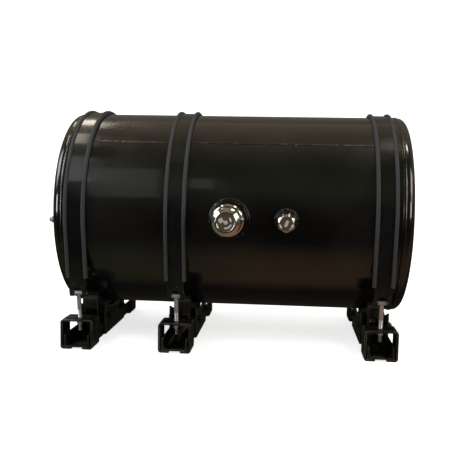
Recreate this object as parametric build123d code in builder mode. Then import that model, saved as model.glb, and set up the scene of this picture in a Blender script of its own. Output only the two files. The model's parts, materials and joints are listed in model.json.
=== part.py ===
from build123d import *
import os
from math import asin, atan2, cos, degrees, hypot, radians, sin, sqrt

# A horizontal air receiver. The tank lies along X and is held down by three steel
# straps on three channel beams that run along Y. The origin is the middle of the
# outer beams' bolt holes, on the beams' underside. The front is -Y. Millimetres.

# Tank
tank_od = 610.0
tank_lift = 94.0            # tank's lowest line above the beams' underside
shell_wall = 5.0
shell_length = 978.0
shell_shift = 5.0           # shell middle from the middle of the outer beams, along X
head_wall = 5.0
head_flange = 8.0           # straight part of a head, next to the shell
head_dish = 32.0            # depth of a head beyond its straight part
head_knuckle = 22.0
girth_weld_width = 12.0
girth_weld_height = 2.5
seam_angle = 43.6           # longitudinal seam above the horizontal, on the front
seam_weld_width = 7.0
seam_weld_height = 1.4

# Beams, one under each strap
middle_beam_x = -152.5
beam_width = 76.0
beam_height = 38.0
beam_wall = 5.0
mount_hole_d = 14.0
mount_hole_y = (150.0, 190.0)

# End brackets, wrapped round each beam end
bracket_side_gap = 4.5      # between a beam's side and the bracket round it
bracket_rise = 83.0         # top face above the beams' underside
bracket_depth = 76.0        # along Y, with the T-bolt's hole in the middle
bracket_wall = 6.0
bracket_lip = 32.0
bracket_corner = 9.0

# Cradles, their pads and the plates beside them
pad_thickness = 10.0
cradle_width = 48.0
cradle_wall = 6.0
cradle_angle = 28.0         # half of the arc that a cradle supports
cradle_end_height = 32.0
cradle_foot = 190.0         # length of a cradle's foot on the beam's floor
plate_thickness = 6.0
plate_length = 244.0
plate_gap = 8.0             # between the pad's outer face and a plate's arc
cross_bolt_d = 12.0
cross_bolt_y = 80.0
cross_bolt_z = 54.0
cross_bolt_flats = 18.0
cross_head_height = 7.5
cross_nut_height = 10.0
cross_bolt_tip = 5.0        # thread that shows past a nut

# Straps and their rubber liners
strap_width = 50.8
strap_thickness = 3.0
strap_drop = 250.0          # strap's lowest point below the tank axis
strap_lean = 9.5            # inward lean of the strap's straight ends
strap_window_width = 26.0
strap_window_height = 15.0
liner_web = 3.0
liner_lip = 6.0             # height of the edge beads above the strap
liner_bead = 11.0           # width of each edge bead
liner_overhang = 6.3        # how far a liner stands past each of the strap's edges
liner_gap = 0.8             # between the left girth weld and the left liner
liner_drop = 190.0          # liner's lowest point below the tank axis

# T-bolts, washers and nuts
bolt_d = 12.7
bolt_end_z = 42.0           # bottom of a T-bolt above the beams' underside
cross_pin_d = 14.0
cross_pin_inset = 2.4       # ends of a cross pin in from the strap's edges
washer_od = 30.0
washer_thin = 1.5           # thin edge of a bevel washer
nut_flats = 19.0
nut_height = 11.0

# Ports on the front of the shell
port_drop = 0.8             # angle of both ports below the horizontal
main_port_x = 4.0
main_port_wall = 15.0
main_port_stand = 20.0      # from the shell's outer surface to the port's face
main_thread_d = 76.0
main_plug_reach = 118.0     # from the shell's outer surface to the plug's face
main_plug_flats = 76.0
main_collar_ledge = 7.0     # how far the collar stands out past the thread
main_collar_height = 38.0
small_port_x = 166.0
small_port_wall = 11.4
small_port_stand = 18.0
small_thread_d = 33.2
small_plug_reach = 105.0
small_plug_flats = 45.0
small_collar_ledge = 6.4
small_collar_height = 30.0
port_inset = 18.0           # port's inner end behind the shell's outer surface
port_chamfer = 2.5
gasket_thickness = 3.0
plug_thread_length = 36.0
plug_skirt = 8.0            # thickness of a plug's hollow thread
plug_collar_bevel = 4.0
plug_bevel = 4.0            # a round face is this much smaller than the flats
plug_bevel_angle = 60.0     # slope of the bevelled corners, away from the plug's axis
plug_collar_angle = 45.0
plug_rim = 6.0              # ring round a plug's sunk face
plug_sink = 3.0
main_plug_sides = 12
small_plug_sides = 6

# Relief valve in the left head
valve_y = -168.0
valve_drop = 30.0           # valve axis below the tank axis
valve_port_od = 38.0
valve_port_stand = 14.0
valve_thread_d = 21.0
valve_thread_length = 18.0
valve_flats = 30.0
valve_hex_height = 16.0
valve_cap_od = 20.0
valve_cap_height = 10.0
valve_cap_bevel = 2.0
valve_chamber_d = 15.0
valve_seat_d = 9.0
valve_seat_height = 4.0
valve_stem_d = 6.0
valve_disc_d = 13.0
valve_disc_height = 3.0
valve_knob_d = 12.0
valve_knob_height = 6.0
valve_travel = 3.0
spring_wire = 1.2
spring_turns = 6.0

# Clearances
running = 0.05              # radial, in threads and sliding fits
bolt_clearance = 0.7        # radial, round bolts in plain holes
eye_clearance = 0.4         # radial, between a strap's eye and its cross pin
loose = 0.4                 # radial, round pieces that only pass through
weld_gap = 0.3              # between a port and its hole in the shell

# Worked out from the sizes above
tank_r = tank_od / 2
tank_height = tank_r + tank_lift
shell_left = shell_shift - shell_length / 2
shell_right = shell_shift + shell_length / 2
liner_width = strap_width + 2 * liner_overhang
outer_beam_x = -shell_left - girth_weld_width / 2 - liner_gap - liner_width / 2
tank_axis = Axis((0, 0, tank_height), (1, 0, 0))
pad_r = tank_r + pad_thickness
head_crown_r = (head_dish**2 + (tank_r - head_knuckle) ** 2 - head_knuckle**2) / 2
head_crown_r /= head_dish - head_knuckle
cross_pin_length = strap_width - 2 * cross_pin_inset
strap_inner_r = tank_r + liner_web
strap_outer_r = strap_inner_r + strap_thickness
eye_inner_r = cross_pin_d / 2 + eye_clearance
eye_outer_r = eye_inner_r + strap_thickness
eye_line_r = strap_outer_r - eye_outer_r
lean_sin, lean_cos = sin(radians(strap_lean)), cos(radians(strap_lean))
eye_run = (strap_drop - eye_outer_r - eye_line_r * lean_sin) / lean_cos
liner_run = (liner_drop - strap_outer_r * lean_sin) / lean_cos
bolt_y = eye_line_r * lean_cos - eye_run * lean_sin
bolt_top_z = tank_height - eye_line_r * lean_sin - eye_run * lean_cos
bolt_reach = (bolt_top_z - bolt_end_z) / lean_cos
plate_under_z = bracket_rise - bracket_wall
bolt_hole_y = bolt_y - (bolt_top_z - bracket_rise) * lean_sin / lean_cos
beam_length = 2 * bolt_hole_y + bracket_depth
bracket_width = beam_width + 2 * (bracket_side_gap + bracket_wall)
main_port_od = main_thread_d + 2 * main_port_wall
main_plug_collar = main_thread_d + 2 * main_collar_ledge
small_port_od = small_thread_d + 2 * small_port_wall
small_plug_collar = small_thread_d + 2 * small_collar_ledge
nut_seat = (bolt_top_z - plate_under_z + washer_od / 2 * lean_sin) / lean_cos + washer_thin

beams = {"left": -outer_beam_x, "middle": middle_beam_x, "right": outer_beam_x}
ends = {"front": -1, "rear": 1}


def bolt_plane(beam_x, side):
    """The middle of a T-bolt's cross pin, with Z along the bolt towards its nut."""
    return Plane((beam_x, side * bolt_y, bolt_top_z), x_dir=(1, 0, 0),
                 z_dir=(0, -side * lean_sin, -lean_cos))


def port_plane(port_x):
    """Where a port's axis leaves the shell's outer surface, with Z pointing outwards."""
    way = Vector(0, -cos(radians(port_drop)), -sin(radians(port_drop)))
    return Plane(Vector(port_x, 0, tank_height) + way * tank_r, x_dir=(1, 0, 0), z_dir=way)


main_plane = port_plane(main_port_x)
small_plane = port_plane(small_port_x)

os.makedirs("parts", exist_ok=True)


def slab(section, low_x, width, mode=Mode.ADD):
    """Give a sketch in the YZ plane a width along X, from a given place."""
    extrude(section.moved(Location((low_x, 0, 0))), amount=width, dir=(1, 0, 0), mode=mode)


def strap_loop(inner_r, outer_r, run):
    """Sketch an arch that follows the tank between two radii, with straight leaning ends."""

    def spot(radius, side, along):
        y = side * (radius * lean_cos - along * lean_sin)
        return (y, tank_height - radius * lean_sin - along * lean_cos)

    with BuildSketch(Plane.YZ) as loop:
        with BuildLine():
            Line(spot(outer_r, -1, run), spot(outer_r, -1, 0))
            ThreePointArc(spot(outer_r, -1, 0), (0, tank_height + outer_r), spot(outer_r, 1, 0))
            Polyline(spot(outer_r, 1, 0), spot(outer_r, 1, run), spot(inner_r, 1, run),
                     spot(inner_r, 1, 0))
            ThreePointArc(spot(inner_r, 1, 0), (0, tank_height + inner_r), spot(inner_r, -1, 0))
            Polyline(spot(inner_r, -1, 0), spot(inner_r, -1, run), spot(outer_r, -1, run))
        make_face()
    return loop.sketch


def seam_bead(width, height):
    """Sketch the section of the longitudinal weld, on the tank's surface."""
    half = asin(width / 2 / tank_r)
    middle = radians(seam_angle)

    def spot(radius, angle):
        return (-radius * cos(angle), tank_height + radius * sin(angle))

    with BuildSketch(Plane.YZ) as bead:
        with BuildLine():
            ThreePointArc(spot(tank_r, middle - half), spot(tank_r, middle),
                          spot(tank_r, middle + half))
            ThreePointArc(spot(tank_r, middle + half), spot(tank_r + height, middle),
                          spot(tank_r, middle - half))
        make_face()
    return bead.sketch


# Shell: a rolled tube with a hole for each port
with BuildPart() as shell:
    with BuildSketch(Plane.YZ.offset(shell_left)):
        with Locations((0, tank_height)):
            Circle(tank_r)
            Circle(tank_r - shell_wall, mode=Mode.SUBTRACT)
    extrude(amount=shell_length)
    for plane, port_od in ((main_plane, main_port_od), (small_plane, small_port_od)):
        with BuildSketch(plane):
            Circle(port_od / 2 + weld_gap)
        extrude(amount=-tank_r / 2, mode=Mode.SUBTRACT)
shell.part.label = "shell"
export_step(shell.part, "parts/shell.step")


def dish(end_x, way, wall):
    """Sketch half of a head's section, cut back by a wall: flange, knuckle and crown."""
    radius, knuckle, crown = tank_r - wall, head_knuckle - wall, head_crown_r - wall
    apex = head_flange + head_dish - wall
    centre = apex - crown
    turn = atan2(tank_r - head_knuckle, head_flange - centre)
    lean = (turn + radians(90)) / 2

    def spot(along, out):
        return (end_x + way * along, tank_height + out)

    shoulder = spot(head_flange + knuckle * cos(lean), radius - knuckle + knuckle * sin(lean))
    join = spot(centre + crown * cos(turn), crown * sin(turn))
    middle = spot(centre + crown * cos(turn / 2), crown * sin(turn / 2))
    with BuildSketch(Plane.XZ) as half:
        with BuildLine():
            Polyline(spot(0, 0), spot(0, radius), spot(head_flange, radius))
            ThreePointArc(spot(head_flange, radius), shoulder, join)
            ThreePointArc(join, middle, spot(apex, 0))
            Line(spot(apex, 0), spot(0, 0))
        make_face()
    return half.sketch


def crown_depth(out):
    """Distance of a head's outer surface from the shell's end, at a distance from the axis."""
    return head_flange + head_dish - head_crown_r + sqrt(head_crown_r**2 - out**2)


# Heads: shallow dished ends, the left one with a hole for the valve's port
valve_seat_x = shell_left - crown_depth(hypot(valve_y, valve_drop))
valve_plane = Plane((valve_seat_x, valve_y, tank_height - valve_drop), z_dir=(-1, 0, 0))
for side, end_x, way in (("left", shell_left, -1), ("right", shell_right, 1)):
    with BuildPart() as head:
        add(dish(end_x, way, 0))
        revolve(axis=tank_axis)
        add(dish(end_x, way, head_wall))
        revolve(axis=tank_axis, mode=Mode.SUBTRACT)
        if side == "left":
            with BuildSketch(valve_plane):
                Circle(valve_port_od / 2 + weld_gap)
            extrude(amount=head_dish, both=True, mode=Mode.SUBTRACT)
    head.part.label = f"head_{side}"
    export_step(head.part, f"parts/head_{side}.step")

# Girth welds: a bead round the tank where each head meets the shell
with BuildPart() as girth_welds:
    for end_x in (shell_left, shell_right):
        with BuildSketch(Plane.XZ):
            with BuildLine():
                low, high = end_x - girth_weld_width / 2, end_x + girth_weld_width / 2
                base_z = tank_height + tank_r
                ThreePointArc((low, base_z), (end_x, base_z + girth_weld_height), (high, base_z))
                Line((high, base_z), (low, base_z))
            make_face()
        revolve(axis=tank_axis)
girth_welds.part.label = "girth_welds"
export_step(girth_welds.part, "parts/girth_welds.step")

# Seam weld: the shell's longitudinal bead, from one girth weld to the other
seam_section = seam_bead(seam_weld_width, seam_weld_height)
with BuildPart() as seam_weld:
    seam_low = shell_left + girth_weld_width / 2
    slab(seam_section, seam_low, shell_length - girth_weld_width)
seam_weld.part.label = "seam_weld"
export_step(seam_weld.part, "parts/seam_weld.step")


# Ports: half couplings welded into the shell, each with a chamfered face
ports = {
    "main_port": (main_plane, main_port_od, main_thread_d, main_port_stand),
    "small_port": (small_plane, small_port_od, small_thread_d, small_port_stand),
    "valve_port": (valve_plane, valve_port_od, valve_thread_d, valve_port_stand),
}
for name, (plane, outer_d, bore_d, stand) in ports.items():
    with BuildPart() as port:
        with BuildSketch(plane.offset(-port_inset)):
            Circle(outer_d / 2)
            Circle(bore_d / 2, mode=Mode.SUBTRACT)
        extrude(amount=port_inset + stand)
        rims = port.edges().filter_by(GeomType.CIRCLE).group_by(Axis(plane.origin, plane.z_dir))[-1]
        chamfer(rims.sort_by(SortBy.RADIUS)[-1], length=port_chamfer)
    port.part.label = name
    export_step(port.part, f"parts/{name}.step")


# Plugs: hollow thread, round collar, many-sided head and a sunk round face, each sealed
# by a flat gasket that its thread passes through
plugs = {
    "main": (main_plane, main_thread_d, main_port_stand, main_plug_collar,
             main_collar_height, main_plug_reach, main_plug_flats, main_plug_sides),
    "small": (small_plane, small_thread_d, small_port_stand, small_plug_collar,
              small_collar_height, small_plug_reach, small_plug_flats, small_plug_sides),
}
for name, (plane, thread_d, stand, collar_d, collar_height, reach, flats, sides) in plugs.items():
    with BuildPart() as gasket:
        with BuildSketch(plane.offset(stand)):
            Circle(collar_d / 2)
            Circle(thread_d / 2 + loose, mode=Mode.SUBTRACT)
        extrude(amount=gasket_thickness)
    gasket.part.label = f"{name}_gasket"
    export_step(gasket.part, f"parts/{name}_gasket.step")

    seat = stand + gasket_thickness
    head_low = seat + collar_height
    thread_r = thread_d / 2 - running
    face_r = (flats - plug_bevel) / 2
    with BuildPart() as plug:
        with BuildSketch(plane.offset(head_low)):
            RegularPolygon(flats / 2, sides, major_radius=False, rotation=180 / sides)
        extrude(amount=reach - head_low)
        with BuildSketch(plane.offset(reach)):
            Circle(face_r)
        extrude(amount=head_low - reach, taper=-plug_bevel_angle, mode=Mode.INTERSECT)
        with BuildSketch(plane.offset(seat)):
            Circle(collar_d / 2)
        extrude(amount=collar_height - plug_collar_bevel)
        with BuildSketch(plane.offset(head_low - plug_collar_bevel)):
            Circle(collar_d / 2)
        extrude(amount=plug_collar_bevel, taper=plug_collar_angle)
        with BuildSketch(plane.offset(reach)):
            Circle(face_r - plug_rim)
        extrude(amount=-plug_sink, mode=Mode.SUBTRACT)
        with BuildSketch(plane.offset(seat)):
            Circle(thread_r)
        extrude(amount=-plug_thread_length)
        with BuildSketch(plane.offset(seat - plug_thread_length)):
            Circle(thread_r - plug_skirt)
        extrude(amount=plug_thread_length, mode=Mode.SUBTRACT)
    plug.part.label = f"{name}_plug"
    export_step(plug.part, f"parts/{name}_plug.step")

# Relief valve: a hex body with a cap, and inside it a spring that holds the disc shut
thread_bottom = valve_port_stand - valve_thread_length
hex_top = valve_port_stand + valve_hex_height
cap_top = hex_top + valve_cap_height
disc_bottom = thread_bottom + valve_seat_height
disc_top = disc_bottom + valve_disc_height
with BuildPart() as valve_body:
    with BuildSketch(valve_plane.offset(thread_bottom)):
        Circle(valve_thread_d / 2 - running)
    extrude(amount=valve_thread_length)
    with BuildSketch(valve_plane.offset(valve_port_stand)):
        RegularPolygon(valve_flats / 2, 6, major_radius=False, rotation=30)
    extrude(amount=valve_hex_height)
    with BuildSketch(valve_plane.offset(disc_bottom)):
        Circle(valve_chamber_d / 2)
    extrude(amount=hex_top - disc_bottom, mode=Mode.SUBTRACT)
    with BuildSketch(valve_plane.offset(thread_bottom)):
        Circle(valve_seat_d / 2)
    extrude(amount=valve_seat_height, mode=Mode.SUBTRACT)
valve_body.part.label = "valve_body"
export_step(valve_body.part, "parts/valve_body.step")

with BuildPart() as valve_cap:
    with BuildSketch(valve_plane.offset(hex_top)):
        Circle(valve_cap_od / 2)
    extrude(amount=valve_cap_height)
    chamfer(valve_cap.edges().group_by(Axis.X)[0], length=valve_cap_bevel)
    with BuildSketch(valve_plane.offset(hex_top)):
        Circle(valve_stem_d / 2 + running)
    extrude(amount=valve_cap_height, mode=Mode.SUBTRACT)
valve_cap.part.label = "valve_cap"
export_step(valve_cap.part, "parts/valve_cap.step")

with BuildPart() as valve_stem:
    with BuildSketch(valve_plane.offset(disc_bottom)):
        Circle(valve_disc_d / 2)
    extrude(amount=valve_disc_height)
    with BuildSketch(valve_plane.offset(disc_top)):
        Circle(valve_stem_d / 2)
    extrude(amount=cap_top - disc_top)
    with BuildSketch(valve_plane.offset(cap_top)):
        Circle(valve_knob_d / 2)
    extrude(amount=valve_knob_height)
valve_stem.part.label = "valve_stem"
export_step(valve_stem.part, "parts/valve_stem.step")

spring_r = (valve_chamber_d + valve_stem_d) / 4
spring_length = hex_top - disc_top - spring_wire
with BuildPart() as valve_spring:
    spring_plane = valve_plane.offset(disc_top + spring_wire / 2)
    with BuildLine() as coil:
        Helix(spring_length / spring_turns, spring_length, spring_r,
              center=spring_plane.origin, direction=spring_plane.z_dir)
    with BuildSketch(Plane(coil.line @ 0, z_dir=coil.line % 0)):
        Circle(spring_wire / 2)
    sweep(path=coil.line, is_frenet=True)
valve_spring.part.label = "valve_spring"
export_step(valve_spring.part, "parts/valve_spring.step")

# Beams: upright channels with bolt holes through the floor near each end
cross_places = [(-cross_bolt_y, cross_bolt_z), (cross_bolt_y, cross_bolt_z)]
hole_ys = [side * hole_y for side in ends.values() for hole_y in mount_hole_y]
for place, beam_x in beams.items():
    with BuildPart() as beam:
        with BuildSketch(Plane.XZ.offset(-beam_length / 2)):
            with Locations((beam_x, beam_height / 2)):
                Rectangle(beam_width, beam_height)
            with Locations((beam_x, beam_height / 2 + beam_wall)):
                Rectangle(beam_width - 2 * beam_wall, beam_height, mode=Mode.SUBTRACT)
        extrude(amount=beam_length)
        with BuildSketch(Plane.XY):
            with Locations([(beam_x, hole_y) for hole_y in hole_ys]):
                Circle(mount_hole_d / 2)
        extrude(amount=beam_wall, mode=Mode.SUBTRACT)
    beam.part.label = f"beam_{place}"
    export_step(beam.part, f"parts/beam_{place}.step")

# End brackets: plate folded over a beam's end, with lips turned in under the beam
for place, beam_x in beams.items():
    for end, side in ends.items():
        outer_y = side * beam_length / 2
        with BuildPart() as bracket:
            with BuildSketch(Plane.XZ.offset(-outer_y)) as section:
                with Locations((beam_x, (bracket_rise - bracket_wall) / 2)):
                    Rectangle(bracket_width, bracket_rise + bracket_wall)
                top = section.vertices().group_by(Axis.Z)[-1]
                fillet(top, radius=bracket_corner)
                with Locations((beam_x, (bracket_rise - bracket_wall) / 2)):
                    Rectangle(bracket_width - 2 * bracket_wall, bracket_rise - bracket_wall,
                              mode=Mode.SUBTRACT)
                with Locations((beam_x, -bracket_wall / 2)):
                    Rectangle(bracket_width - 2 * bracket_lip, bracket_wall, mode=Mode.SUBTRACT)
            extrude(amount=side * bracket_depth)
            with BuildSketch(bolt_plane(beam_x, side)):
                Circle(bolt_d / 2 + bolt_clearance)
            extrude(amount=bolt_reach, mode=Mode.SUBTRACT)
        bracket.part.label = f"bracket_{end}_{place}"
        export_step(bracket.part, f"parts/bracket_{end}_{place}.step")

# T-bolts through each bracket's top, with a bevel washer and a nut under it
for place, beam_x in beams.items():
    for end, side in ends.items():
        here = f"{end}_{place}"
        plane = bolt_plane(beam_x, side)
        with BuildPart() as t_bolt:
            with BuildSketch(Plane.YZ.offset(beam_x - cross_pin_length / 2)):
                with Locations((side * bolt_y, bolt_top_z)):
                    Circle(cross_pin_d / 2)
            extrude(amount=cross_pin_length)
            with BuildSketch(plane):
                Circle(bolt_d / 2)
            extrude(amount=bolt_reach)
        t_bolt.part.label = f"t_bolt_{here}"
        export_step(t_bolt.part, f"parts/t_bolt_{here}.step")

        with BuildPart() as washer:
            with BuildSketch(plane.offset(nut_seat)):
                Circle(washer_od / 2)
                Circle(bolt_d / 2 + loose, mode=Mode.SUBTRACT)
            extrude(amount=-washer_od)
            split(bisect_by=Plane.XY.offset(plate_under_z), keep=Keep.BOTTOM)
        washer.part.label = f"washer_{here}"
        export_step(washer.part, f"parts/washer_{here}.step")

        with BuildPart() as nut:
            with BuildSketch(plane.offset(nut_seat)):
                RegularPolygon(nut_flats / 2, 6, major_radius=False)
                Circle(bolt_d / 2 + running, mode=Mode.SUBTRACT)
            extrude(amount=nut_height)
        nut.part.label = f"nut_{here}"
        export_step(nut.part, f"parts/nut_{here}.step")

# Straps: a band over the tank with a rolled eye at each end, open in the middle for a T-bolt
band_loop = strap_loop(strap_inner_r, strap_outer_r, eye_run)
for place, beam_x in beams.items():
    with BuildPart() as strap:
        slab(band_loop, beam_x - strap_width / 2, strap_width)
        for side in ends.values():
            with BuildSketch(Plane.YZ.offset(beam_x - strap_width / 2)):
                with Locations((side * bolt_y, bolt_top_z)):
                    Circle(eye_outer_r)
            extrude(amount=strap_width)
        for side in ends.values():
            with BuildSketch(Plane.YZ.offset(beam_x - strap_width / 2)):
                with Locations((side * bolt_y, bolt_top_z)):
                    Circle(eye_inner_r)
            extrude(amount=strap_width, mode=Mode.SUBTRACT)
        with BuildSketch(Plane.XZ.offset(-tank_od)):
            with Locations((beam_x, bolt_top_z - strap_window_height / 2)):
                SlotOverall(2 * strap_window_height + strap_window_width, strap_window_width, rotation=90)
        extrude(amount=2 * tank_od, mode=Mode.SUBTRACT)
    strap.part.label = f"strap_{place}"
    export_step(strap.part, f"parts/strap_{place}.step")

# Liners: a rubber web under each strap, with a bead that grips each of the strap's edges
web_loop = strap_loop(tank_r, strap_inner_r, liner_run)
bead_loop = strap_loop(tank_r, strap_outer_r + liner_lip, liner_run)
groove_loop = strap_loop(strap_inner_r, strap_outer_r, liner_run)
for place, beam_x in beams.items():
    liner_low = beam_x - liner_width / 2
    with BuildPart() as liner:
        slab(web_loop, liner_low, liner_width)
        for bead_x in (liner_low, liner_low + liner_width - liner_bead):
            slab(bead_loop, bead_x, liner_bead)
        slab(groove_loop, beam_x - strap_width / 2, strap_width, Mode.SUBTRACT)
        slab(seam_section, liner_low, liner_width, Mode.SUBTRACT)
    liner.part.label = f"liner_{place}"
    export_step(liner.part, f"parts/liner_{place}.step")


def under_tank(radius, angle):
    """A point below the tank axis, at an angle from straight down, towards the rear if positive."""
    return (radius * sin(radians(angle)), tank_height - radius * cos(radians(angle)))


def saddle(top_r, half_angle, end_height, foot_half, floor_z):
    """Sketch a cradle's side: an arc under the tank, upright ends and slopes to a flat foot."""
    edge_y, edge_z = under_tank(top_r, half_angle)
    with BuildSketch(Plane.YZ) as side_view:
        with BuildLine():
            ThreePointArc((-edge_y, edge_z), under_tank(top_r, 0), (edge_y, edge_z))
            Polyline((edge_y, edge_z), (edge_y, edge_z - end_height), (foot_half, floor_z),
                     (-foot_half, floor_z), (-edge_y, edge_z - end_height), (-edge_y, edge_z))
        make_face()
    return side_view.sketch


# Cradles: plate saddles that stand on the beam's floor, each with a rubber pad on top
inside_angle = cradle_angle - degrees(cradle_wall / pad_r)
cradle_side = saddle(pad_r, cradle_angle, cradle_end_height, cradle_foot / 2, beam_wall)
cradle_hollow = saddle(pad_r + cradle_wall, inside_angle, cradle_end_height, cradle_foot / 2, beam_wall)
for place, beam_x in beams.items():
    with BuildPart() as pad:
        with BuildSketch(Plane.YZ.offset(beam_x - cradle_width / 2)):
            with BuildLine():
                ThreePointArc(under_tank(tank_r, -cradle_angle), under_tank(tank_r, 0),
                              under_tank(tank_r, cradle_angle))
                Line(under_tank(tank_r, cradle_angle), under_tank(pad_r, cradle_angle))
                ThreePointArc(under_tank(pad_r, cradle_angle), under_tank(pad_r, 0),
                              under_tank(pad_r, -cradle_angle))
                Line(under_tank(pad_r, -cradle_angle), under_tank(tank_r, -cradle_angle))
            make_face()
        extrude(amount=cradle_width)
    pad.part.label = f"pad_{place}"
    export_step(pad.part, f"parts/pad_{place}.step")

    with BuildPart() as cradle:
        slab(cradle_side, beam_x - cradle_width / 2, cradle_width)
        slab(cradle_hollow, beam_x - cradle_width / 2 + cradle_wall,
             cradle_width - 2 * cradle_wall, Mode.SUBTRACT)
        with BuildSketch(Plane.YZ.offset(beam_x - cradle_width / 2)):
            with Locations(cross_places):
                Circle(cross_bolt_d / 2 + bolt_clearance)
        extrude(amount=cradle_width, mode=Mode.SUBTRACT)
    cradle.part.label = f"cradle_{place}"
    export_step(cradle.part, f"parts/cradle_{place}.step")

# Side plates: welded outside each beam's walls, with an arc cut for the tank
plate_r = pad_r + plate_gap
plate_corner_z = tank_height - sqrt(plate_r**2 - (plate_length / 2) ** 2)
for place, beam_x in beams.items():
    with BuildPart() as plates:
        for plate_x in (beam_x - beam_width / 2 - plate_thickness, beam_x + beam_width / 2):
            with BuildSketch(Plane.YZ.offset(plate_x)):
                with BuildLine():
                    ThreePointArc((-plate_length / 2, plate_corner_z), (0, tank_height - plate_r),
                                  (plate_length / 2, plate_corner_z))
                    Polyline((plate_length / 2, plate_corner_z), (plate_length / 2, 0),
                             (-plate_length / 2, 0), (-plate_length / 2, plate_corner_z))
                make_face()
                with Locations(cross_places):
                    Circle(cross_bolt_d / 2 + bolt_clearance, mode=Mode.SUBTRACT)
            extrude(amount=plate_thickness)
    plates.part.label = f"side_plates_{place}"
    export_step(plates.part, f"parts/side_plates_{place}.step")

# Cross bolts: through both side plates and the cradle between them, each with a nut
plate_reach = beam_width / 2 + plate_thickness
with BuildPart() as cross_bolts:
    for beam_x in beams.values():
        with BuildSketch(Plane.YZ.offset(beam_x - plate_reach)):
            with Locations(cross_places):
                Circle(cross_bolt_d / 2)
        extrude(amount=2 * plate_reach + cross_nut_height + cross_bolt_tip)
        with BuildSketch(Plane.YZ.offset(beam_x - plate_reach)):
            with Locations(cross_places):
                RegularPolygon(cross_bolt_flats / 2, 6, major_radius=False)
        extrude(amount=-cross_head_height)
cross_bolts.part.label = "cross_bolts"
export_step(cross_bolts.part, "parts/cross_bolts.step")

with BuildPart() as cross_nuts:
    for beam_x in beams.values():
        with BuildSketch(Plane.YZ.offset(beam_x + plate_reach)):
            with Locations(cross_places):
                RegularPolygon(cross_bolt_flats / 2, 6, major_radius=False)
            with Locations(cross_places):
                Circle(cross_bolt_d / 2 + running, mode=Mode.SUBTRACT)
        extrude(amount=cross_nut_height)
cross_nuts.part.label = "cross_nuts"
export_step(cross_nuts.part, "parts/cross_nuts.step")
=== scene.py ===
import json
from math import atan2, cos, pi, radians, sin, tan

import bmesh
import bpy
import numpy as np
from mathutils import Matrix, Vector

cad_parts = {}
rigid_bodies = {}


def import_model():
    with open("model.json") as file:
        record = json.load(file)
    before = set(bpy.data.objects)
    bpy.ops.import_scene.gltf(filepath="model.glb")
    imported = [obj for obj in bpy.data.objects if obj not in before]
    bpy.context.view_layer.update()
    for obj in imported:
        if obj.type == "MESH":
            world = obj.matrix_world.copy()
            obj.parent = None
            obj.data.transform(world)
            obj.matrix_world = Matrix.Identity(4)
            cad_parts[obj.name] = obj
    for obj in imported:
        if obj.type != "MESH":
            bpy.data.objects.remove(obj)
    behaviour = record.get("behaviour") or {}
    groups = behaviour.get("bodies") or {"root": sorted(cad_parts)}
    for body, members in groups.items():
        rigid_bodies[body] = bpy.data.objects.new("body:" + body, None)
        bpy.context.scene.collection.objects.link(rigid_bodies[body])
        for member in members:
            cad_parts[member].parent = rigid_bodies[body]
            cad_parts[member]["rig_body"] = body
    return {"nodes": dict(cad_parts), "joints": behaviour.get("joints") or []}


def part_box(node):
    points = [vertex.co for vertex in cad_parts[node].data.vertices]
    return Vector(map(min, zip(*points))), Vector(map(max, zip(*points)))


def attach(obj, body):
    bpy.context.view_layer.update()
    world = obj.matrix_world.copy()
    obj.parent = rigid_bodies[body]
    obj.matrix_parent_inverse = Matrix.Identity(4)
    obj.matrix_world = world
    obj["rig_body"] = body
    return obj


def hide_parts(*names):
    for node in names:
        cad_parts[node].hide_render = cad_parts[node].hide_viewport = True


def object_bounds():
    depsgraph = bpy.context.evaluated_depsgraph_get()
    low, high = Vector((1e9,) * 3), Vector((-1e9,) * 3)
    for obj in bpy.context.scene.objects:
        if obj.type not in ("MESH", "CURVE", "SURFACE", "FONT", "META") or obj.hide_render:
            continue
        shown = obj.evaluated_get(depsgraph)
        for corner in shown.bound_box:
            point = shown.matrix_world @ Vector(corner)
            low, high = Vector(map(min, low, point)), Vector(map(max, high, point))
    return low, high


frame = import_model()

bl_info = {
    "name": "Air Receiver Tank",
    "version": (1, 0, 0),
    "blender": (4, 5, 0),
    "location": "View3D > Sidebar > Receiver",
    "description": "Finished surfaces and materials for a strapped air receiver tank",
    "category": "Object",
}

# Places and directions, read from the frame. Lengths are in metres.
# X runs along the tank, -Y is the front, where the ports are, and Z is up.
NODES = frame["nodes"]
JOINTS = {joint["name"]: joint for joint in frame["joints"]}
PLACES = ("left", "middle", "right")
ENDS = ("front", "rear")
ALONG_X = np.array((1.0, 0.0, 0.0))
CAD_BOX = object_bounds()
MM = 0.001
HIDDEN = 0.05 * MM          # how far a surface that lies against another stays off it


def span(node):
    """Lowest and highest corner of a node, as arrays."""
    low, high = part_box(node)
    return np.array(low), np.array(high)


SHELL_LOW, SHELL_HIGH = span("shell")
TANK_R = (SHELL_HIGH[2] - SHELL_LOW[2]) / 2
AXIS_Z = (SHELL_HIGH[2] + SHELL_LOW[2]) / 2


def joint_line(name):
    """A joint's point and its direction, as arrays."""
    joint = JOINTS[name]
    return np.array(joint["pos_m"]), np.array(joint["axis"])


BOLT_POINT, BOLT_WAY = joint_line("nut_turn_front_left")
LEAN = atan2(BOLT_WAY[1], -BOLT_WAY[2])


# ---------------------------------------------------------------- sizes and colours

def length_value(name, description, default):
    """A length that a user may change."""
    return bpy.props.FloatProperty(name=name, description=description, default=default,
                                   unit="LENGTH")


def colour_value(name, description, default):
    """A colour that a user may change."""
    return bpy.props.FloatVectorProperty(name=name, description=description, default=default,
                                         size=3, min=0, max=1, subtype="COLOR")


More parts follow.
